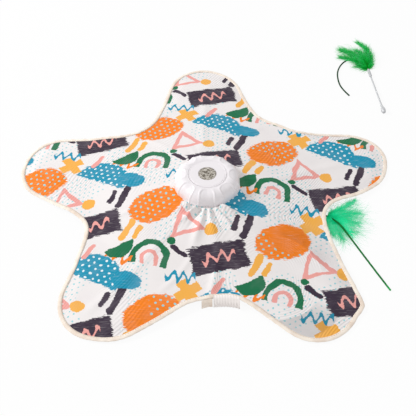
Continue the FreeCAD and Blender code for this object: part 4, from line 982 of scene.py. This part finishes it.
def cap_section():
    """Outer wall from the rim up to the lid's seat, then the seat, then the inner wall back."""
    width = CAP_EDGE - DOME_TOP
    outer = [(CAP_EDGE, CAP_FOOT), (CAP_EDGE, CAP_FOOT + 0.7), (CAP_EDGE, CAP_FOOT + 1.4)]
    for step in range(1, 37):
        angle = math.pi / 2 * step / 36
        outer.append((DOME_TOP + width * max(math.cos(angle), 0.0) ** 0.92,
                      CAP_FOOT + 1.4 + (CAP_TOP - CAP_FOOT - 1.4) * math.sin(angle) ** 0.95))
    inner = []
    for step in range(1, 11):
        angle = math.pi / 2 * (1 - step / 10)
        inner.append((DOME_TOP + (width - CAP_WALL) * math.cos(angle),
                      CAP_FOOT + 1.2 + (CAP_TOP - CAP_FOOT - 4.4) * math.sin(angle)))
    seat = [(reach, CAP_TOP - depth) for reach, depth in SEAT]
    return outer + seat + inner + [(CAP_EDGE - CAP_WALL, CAP_FOOT)]


def panelled(points):
    """Moves the cap's outer skin: each panel is scooped out between its walls, inside a raised lip."""
    reach, bearing = np.hypot(points[:, 0], points[:, 1]), np.arctan2(points[:, 1], points[:, 0])
    level = points[:, 2]
    outer = (reach > 35.2) & (reach + (level - CAP_FOOT) * 0.12 > 35)
    step = 2 * math.pi / PETALS
    lag = (bearing - FIRST_PANEL + step / 2) % step - step / 2
    half, further = (np.interp(reach + d, *np.array(PANEL).T) for d in (0, 0.4))
    inset = (half - np.abs(lag) * reach) / np.hypot(1, (further - half) / 0.4)
    lip = np.exp(-((inset + 1.5) / 1.35) ** 2)
    wall, scoop = smooth_step(-0.5, 1.5, inset), smooth_step(0.5, 11, inset)
    push = (LIP_RISE * lip - WALL_DROP * wall - SCOOP_DROP * scoop) * outer
    # straight out at the rim, straight up at the top
    out = np.clip((reach - 36) / 20, 0, 1) ** 0.6
    fade = smooth_step(35.4, 37.2, reach)
    points[:, :2] *= ((reach + push * out * fade) / np.maximum(reach, 1e-6))[:, None]
    points[:, 2] += push * np.sqrt(np.maximum(0, 1 - out ** 2)) * fade
    return points


petal_cap = settle(spun(cap_section(), True, 640, 0.0001), "petal_cap", "base", cap_plastic)
set_coordinates(petal_cap.data, panelled(coordinates(petal_cap.data)) * MM)
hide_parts("flower_cap")

# %% [markdown]
# ## The catnip tablet
# A disc of pressed dried herb sits in the lid. It is crumbly: grey green flecks of leaf and stalk in
# lighter dust, with a worn, uneven edge. A spun disc is roughened with noise.

# %% Press the tablet
def herb():
    material, start = blank_material("pressed_herb", {"Roughness": 0.95})
    flakes = start.node("TexVoronoi", {"feature": "F1"}, {
        "Vector": object_place(start), "Scale": 500.0, "Randomness": 1.0}, output="Color").parts()[0]
    dust = object_noise(start, 900.0, 4.0)
    link(start.node("ValToRGB", {"stops": [(0.0, rgb(62, 58, 50)), (0.32, rgb(112, 105, 93)),
                                           (0.55, rgb(180, 173, 162)), (1.0, rgb(226, 220, 212))]},
                    {0: flakes * 0.65 + dust * 0.42}), "Base Color")
    link(bump(dust, 0.9, 0.0003), "Normal")
    return material


TABLET_BASE, TABLET_TOP = CAP_TOP - 1.3, CAP_TOP + 0.55


def tablet():
    profile = [(0, TABLET_BASE), (14.6, TABLET_BASE), (14.9, CAP_TOP - 0.6), (14.7, CAP_TOP + 0.1)]
    profile += [(14.3 * (1 - k / 14), TABLET_TOP - 0.35 * math.exp(-k * 1.2)) for k in range(0, 15)]
    piece = settle(spun(profile, False, 120, 0.0005), "herb_tablet", "base", herb())
    points = coordinates(piece.data)
    bearing = np.arctan2(points[:, 1], points[:, 0])
    reach = np.hypot(points[:, 0], points[:, 1])
    grains = np.random.default_rng(3)
    crumbs = grains.normal(0, 0.11, len(points))
    nibbled = sum(grains.uniform(0.1, 0.28) * np.sin(k * bearing + grains.uniform(0, 6))
                  for k in (3, 5, 9, 14, 23))
    worn = 0.02 * smooth_step(8, 14, reach) * (1 + nibbled) * (points[:, 2] > CAP_TOP - 0.9)
    points[:, :2] *= (1 - worn)[:, None]
    points[:, 2] += crumbs * (points[:, 2] > CAP_TOP - 0.4)
    set_coordinates(piece.data, points * MM)
    return piece


herb_tablet = tablet()
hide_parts("catnip_tablet")

# %% [markdown]
# ## Feathers
# Each tuft is a bundle of soft plumes. A plume has a shaft with fine barbs down both sides. The barbs
# are dense and dark where they leave the shaft, and fine, pale and curling at their ends. A grid is made
# once for a tuft, every second column of it is taken away, and each strip that is left is bent along
# one barb. The strip's own coordinates, a number for the barb and the share of its length, colour it.

# %% Comb the barbs
BARB_STEPS = 8


def barb_strips(count):
    form = bmesh.new()
    bmesh.ops.create_grid(form, x_segments=2 * count - 1, y_segments=BARB_STEPS, size=1.0)
    form.verts.ensure_lookup_table()
    columns = sorted({round(v.co.x, 6) for v in form.verts})
    number = {x: k for k, x in enumerate(columns)}
    gaps = [f for f in form.faces if number[round(min(v.co.x for v in f.verts), 6)] % 2]
    bmesh.ops.delete(form, geom=gaps, context="FACES")
    return form, number


print("feather helpers ready")


# %% Grow one tuft
SHAFT_STEPS = 24
BARB_FLOOR = 0.4


def plume_lines(root, plumes, chance):
    """The line and the thickness of every barb of the plumes that grow from one root, in mm. A plume is
    (heading in degrees, length, sweep in degrees along it, rise, barb length, number of barbs, spread in
    degrees, thickness, curl in degrees)."""
    lines = []
    for heading, long, sweep, rise, barb, count, spread, thick, bend in plumes:
        for _ in range(count):
            share = chance.beta(0.75, 1.25)
            bearings = np.radians(heading + sweep * np.linspace(0, share, SHAFT_STEPS))
            pieces = np.column_stack([np.cos(bearings), np.sin(bearings)]) * (long * share / SHAFT_STEPS)
            x, y = root[:2] + pieces.sum(axis=0)
            z = root[2] + rise * math.sin(math.pi * min(share * 1.15, 1)) + chance.normal(0, 0.5)
            side = chance.choice((-1, 1))
            lean = side * abs(chance.normal(0.62, 0.22)) * spread
            reach = barb * (0.55 + 0.55 * math.sin(math.pi * (0.2 + 0.75 * share))) * chance.uniform(0.55, 1.12)
            facing = bearings[-1] + math.radians(lean)
            curl = math.radians(chance.normal(0, bend) - side * 12)
            second = math.radians(chance.normal(0, bend))
            lift = chance.normal(0.06, 0.16)
            t = np.linspace(0, 1, BARB_STEPS + 1)
            angles = (facing + curl * t ** 1.5 + second * np.sin(t * 2 * math.pi))[:-1]
            px, py = (start + np.concatenate([[0], np.cumsum(turn(angles) * (reach / BARB_STEPS))])
                      for start, turn in ((x, np.cos), (y, np.sin)))
            pz = z + lift * reach * t - 0.35 * reach * lift * t ** 2 + chance.normal(0, 0.5) * t
            lines.append((np.column_stack([px, py, pz]), thick * chance.uniform(0.75, 1.2)))
    return lines


def held_down(level, room):
    """A level in mm, pressed down below what there is room for. The lower half keeps its place."""
    free = room / 2
    return level if level <= free else free + free * (1 - math.exp((free - level) / free))


def tuft(name, root, plumes, seed, width, body, material, ceiling=None):
    chance = np.random.default_rng(seed)
    lines = plume_lines(root, plumes, chance)
    form, number = barb_strips(len(lines))
    uv = form.loops.layers.uv.new("UVMap")
    tints = chance.uniform(0, 1, len(lines))
    turns = chance.uniform(0, math.pi, len(lines))
    for vertex in form.verts:
        column = number[round(vertex.co.x, 6)]
        row = int(round((vertex.co.y + 1) / 2 * BARB_STEPS))
        line, thick = lines[column // 2]
        before, after = line[max(row - 1, 0)], line[min(row + 1, BARB_STEPS)]
        heading = (after - before) / max(np.linalg.norm(after - before), 1e-6)
        level = np.array([-heading[1], heading[0], 0.0])
        level /= max(np.linalg.norm(level), 1e-6)
        upright = np.cross(heading, level)
        flat = level * math.cos(turns[column // 2]) + upright * math.sin(turns[column // 2])
        half = width * thick * (1 - 0.82 * (row / BARB_STEPS) ** 0.8) / 2
        place = line[row] + flat * half * (1 if column % 2 else -1)
        place[2] = max(place[2], BARB_FLOOR)
        if ceiling:
            place[2] = held_down(place[2], ceiling(place[0], place[1]))
        vertex.co = Vector(place)
        vertex.index = column * (BARB_STEPS + 1) + row
    for face in form.faces:
        for loop in face.loops:
            column, row = divmod(loop.vert.index, BARB_STEPS + 1)
            loop[uv].uv = (tints[column // 2], row / BARB_STEPS)
    bmesh.ops.scale(form, vec=(MM, MM, MM), verts=form.verts)
    return settle(form, name, body, material)


# %% [markdown]
# Down has no surface of its own: light slips between the barbs, so each barb is lit softly and its end
# thins out to nothing. The light that comes through is painted on as a glow: each barb gives off a little
# of its own colour. The colour is darkest near the shaft.

# %% Dye the feathers
CLEAR_FROM = 0.35


def dyed_down_painted_glow(name, root, body, tip, pale, clear_tip=0.55):
    """Down lets light through from behind; that light is painted on as a glow, each barb giving off a little of
    its own colour.
    """
    material, start = blank_material(name, {
        "Emission Strength": 0.16, "Roughness": 0.85, "Specular IOR Level": 0.15})
    tint, along, _ = start.node("TexCoord", output="UV").parts()
    depth = start.node("ValToRGB", {"stops": [(0.0, root), (0.22, body), (0.62, tip), (1.0, pale)]},
                       {0: along + (tint - 0.5) * 0.35})
    colour = mix((tint * 7.3).math("FRACT") * 0.4, depth, body)
    link(colour, "Base Color")
    # painted glow: each barb gives off its own colour, in place of the light that passes through down
    link(colour, "Emission Color")
    link(1 - (along - CLEAR_FROM).math("MAXIMUM", 0.0) * (clear_tip / (1 - CLEAR_FROM)), "Alpha")
    return material


bright_down = dyed_down_painted_glow("bright_down", rgb(0, 164, 104), rgb(2, 212, 140), rgb(60, 218, 164),
                        rgb(172, 214, 198), clear_tip=0.5)
deep_down = dyed_down_painted_glow("deep_down", rgb(0, 112, 14), rgb(0, 168, 48), rgb(20, 192, 88), rgb(112, 206, 154))

# %% Comb both tufts
TUFT_ROOT = (199.0, -50.0, 5.4)
WAND_PLUMES = [
    (26, 62, 16, 6.0, 19, 950, 28, 1.05, 18),
    (4, 56, 6, 5.0, 26, 700, 42, 1.0, 22),
    (-20, 52, 0, 4.5, 28, 720, 46, 1.0, 24),
    (-45, 54, -4, 4.0, 28, 720, 44, 1.0, 24),
    (-66, 52, -8, 3.5, 26, 760, 40, 1.0, 24),
    (-84, 44, -2, 3.0, 20, 480, 34, 1.05, 20),
    (-14, 24, 0, 4.0, 23, 900, 78, 1.2, 20),
    (-66, 28, -6, 3.5, 21, 700, 50, 1.2, 20),
    (22, 60, 10, 8.0, 46, 150, 60, 0.85, 44),
    (-6, 58, 2, 7.0, 52, 210, 60, 0.85, 44),
    (-36, 60, -4, 5.0, 52, 230, 60, 0.85, 44),
    (-66, 60, -8, 4.0, 48, 210, 50, 0.85, 44),
]
MAT_ROOM, OPEN_ROOM = 1.9, 99.0
REACH_STEP, BEARING_STEP = 4.0, 2.0
SWEEP_REACH, SWEEP_BEARING = np.arange(150, 352, REACH_STEP), np.radians(np.arange(0, 360, BEARING_STEP))


def under_hem(x, y):
    """The nearest point of the outline, how far it is, and whether a place has the mat above it."""
    _, k, far = edge_tree.find((x, y, 0))
    outside = (x - outline[k][0]) * outward[k][0] + (y - outline[k][1]) * outward[k][1]
    return k, far, outside < 1.5


def room_while_turning():
    """The room below the mat in mm by reach and bearing, at rest and wherever the wand then sweeps."""
    x = np.outer(SWEEP_REACH, np.cos(SWEEP_BEARING))
    y = np.outer(SWEEP_REACH, np.sin(SWEEP_BEARING))
    found = [under_hem(px, py) for px, py in zip(x.ravel(), y.ravel())]
    inset = np.array([far if covered else 0 for _, far, covered in found]).reshape(x.shape)
    covered = np.array([covered for _, _, covered in found]).reshape(x.shape)
    room = np.where(covered, height(x, y, inset) - MAT_ROOM, OPEN_ROOM)
    quarter = len(SWEEP_BEARING) // 4
    later = np.min([np.roll(room, -turns * quarter, axis=1) for turns in (1, 2, 3)], axis=0)
    around = [np.percentile(row[row < OPEN_ROOM], 10) if row.min() < OPEN_ROOM else OPEN_ROOM for row in room]
    return np.minimum(later, np.array(around)[:, None])


def room_for_barb(x, y):
    """How high a barb may lie in mm: below the mat, and below the cord where it crosses the feathers."""
    k, _, covered = under_hem(x, y)
    room = hem_level[k] - MAT_ROOM if covered else OPEN_ROOM
    row = int(round((math.hypot(x, y) - SWEEP_REACH[0]) / REACH_STEP))
    column = int(round(math.degrees(math.atan2(y, x)) / BEARING_STEP)) % len(SWEEP_BEARING)
    room = min(room, sweep_room[min(max(row, 0), len(SWEEP_REACH) - 1), column])
    near = min(math.hypot(x - px, y - py) for px, py in tail_line)
    return max(min(room, 0.75 + 0.55 * max(near - 2.2, 0)), 0.6)


hem_level = height(outline[:, 0], outline[:, 1], np.zeros(EDGE_POINTS))
sweep_room = room_while_turning()
print("room for the tuft below the mat as it turns, from reach 200 on:",
      [round(float(row.min()), 1) for row in sweep_room[13::5]])
tail_line = [(p.x / MM, p.y / MM) for p in tail_points["wand_tail"] if p.x > 213 * MM]
wand_tuft = tuft("wand_feathers", TUFT_ROOT, WAND_PLUMES, 11, 0.62, "rotor", bright_down,
                 ceiling=room_for_barb)
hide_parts("wand_tuft")

SPARE_END = (335.8, 349.8, 3.2)
SPARE_PLUMES = [
    (66, 98, 56, 4.5, 23, 1500, 34, 1.15, 20),
    (82, 70, 40, 4.5, 22, 900, 40, 1.1, 22),
    (106, 86, 38, 4.5, 26, 1300, 42, 1.1, 24),
    (126, 66, 26, 4.0, 25, 1000, 46, 1.1, 24),
    (94, 48, 22, 5.0, 27, 1300, 56, 1.2, 20),
    (158, 28, 0, 3.0, 20, 260, 60, 1.0, 30),
    (110, 84, 30, 4.5, 34, 300, 64, 0.9, 50),
]
spare_tuft = tuft("spare_feathers", SPARE_END, SPARE_PLUMES, 23, 0.72, "base", deep_down)
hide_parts("spare_tuft")
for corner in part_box("spare_tuft"):
    print("spare tuft's space, a corner:", [round(c, 3) for c in corner])

# %% [markdown]
# ## Floor and light
# The toy lies on a plain pale floor in soft studio light. A wide lamp high on the left gives the cap
# its gentle shading, and the bright surroundings fill the rest. The floor looks plain white to the eye
# and still catches a trace of shadow.

# %% Lay the floor
def seen_rays(start):
    """1 for the rays that look, straight or by way of metal and glass, and 0 for those that light."""
    camera_ray, glossy, clear = (start.node("LightPath", output=f"Is {kind} Ray")
                                 for kind in ("Camera", "Glossy", "Transmission"))
    return (camera_ray + glossy + clear).math("MINIMUM", 1.0)


def white_floor():
    material, start = blank_material("white_floor", {"Base Color": (0.86, 0.86, 0.86, 1), "Roughness": 0.9})
    nodes = start.tree.nodes
    lit = Field(start.tree, nodes["Principled BSDF"].outputs[0])
    glow = start.node("Emission", {}, {"Color": (1, 1, 1, 1), "Strength": 1.0})
    both = start.node("MixShader", {}, {0: seen_rays(start) * 0.93, 1: lit, 2: glow})
    start.tree.links.new(both.socket, nodes["Material Output"].inputs["Surface"])
    return material


form = bmesh.new()
bmesh.ops.create_grid(form, x_segments=1, y_segments=1, size=6.0)
mesh = bpy.data.meshes.new("floor")
form.to_mesh(mesh)
form.free()
floor = bpy.data.objects.new("floor", mesh)
floor.location.z = -0.0004
mesh.materials.append(white_floor())
bpy.context.scene.collection.objects.link(floor)


# %% Light it
def lamp(name, place, aim, size, watts):
    light = bpy.data.lights.new(name, "AREA")
    light.shape = "DISK"
    light.size = size
    light.energy = watts
    holder = bpy.data.objects.new(name, light)
    holder.location = place
    holder.rotation_mode = "QUATERNION"
    holder.rotation_quaternion = (Vector(aim) - Vector(place)).to_track_quat("-Z", "Y")
    bpy.context.scene.collection.objects.link(holder)
    return holder


lamp("key_lamp", (-2.85, 0.95, 2.1), (0, 0, 0), 1.05, 88)
lamp("fill_lamp", (1.5, -1.7, 1.6), (0, 0, 0), 1.8, 8)
world = bpy.data.worlds.new("studio")
bpy.context.scene.world = world
world.use_nodes = True
studio = Field(world.node_tree)
background = world.node_tree.nodes["Background"]
background.inputs["Color"].default_value = (1.0, 1.0, 1.0, 1)
world.node_tree.links.new((0.56 + seen_rays(studio) * 0.44).socket, background.inputs["Strength"])
bpy.context.scene.view_settings.view_transform = "Standard"
print("lamps lit")
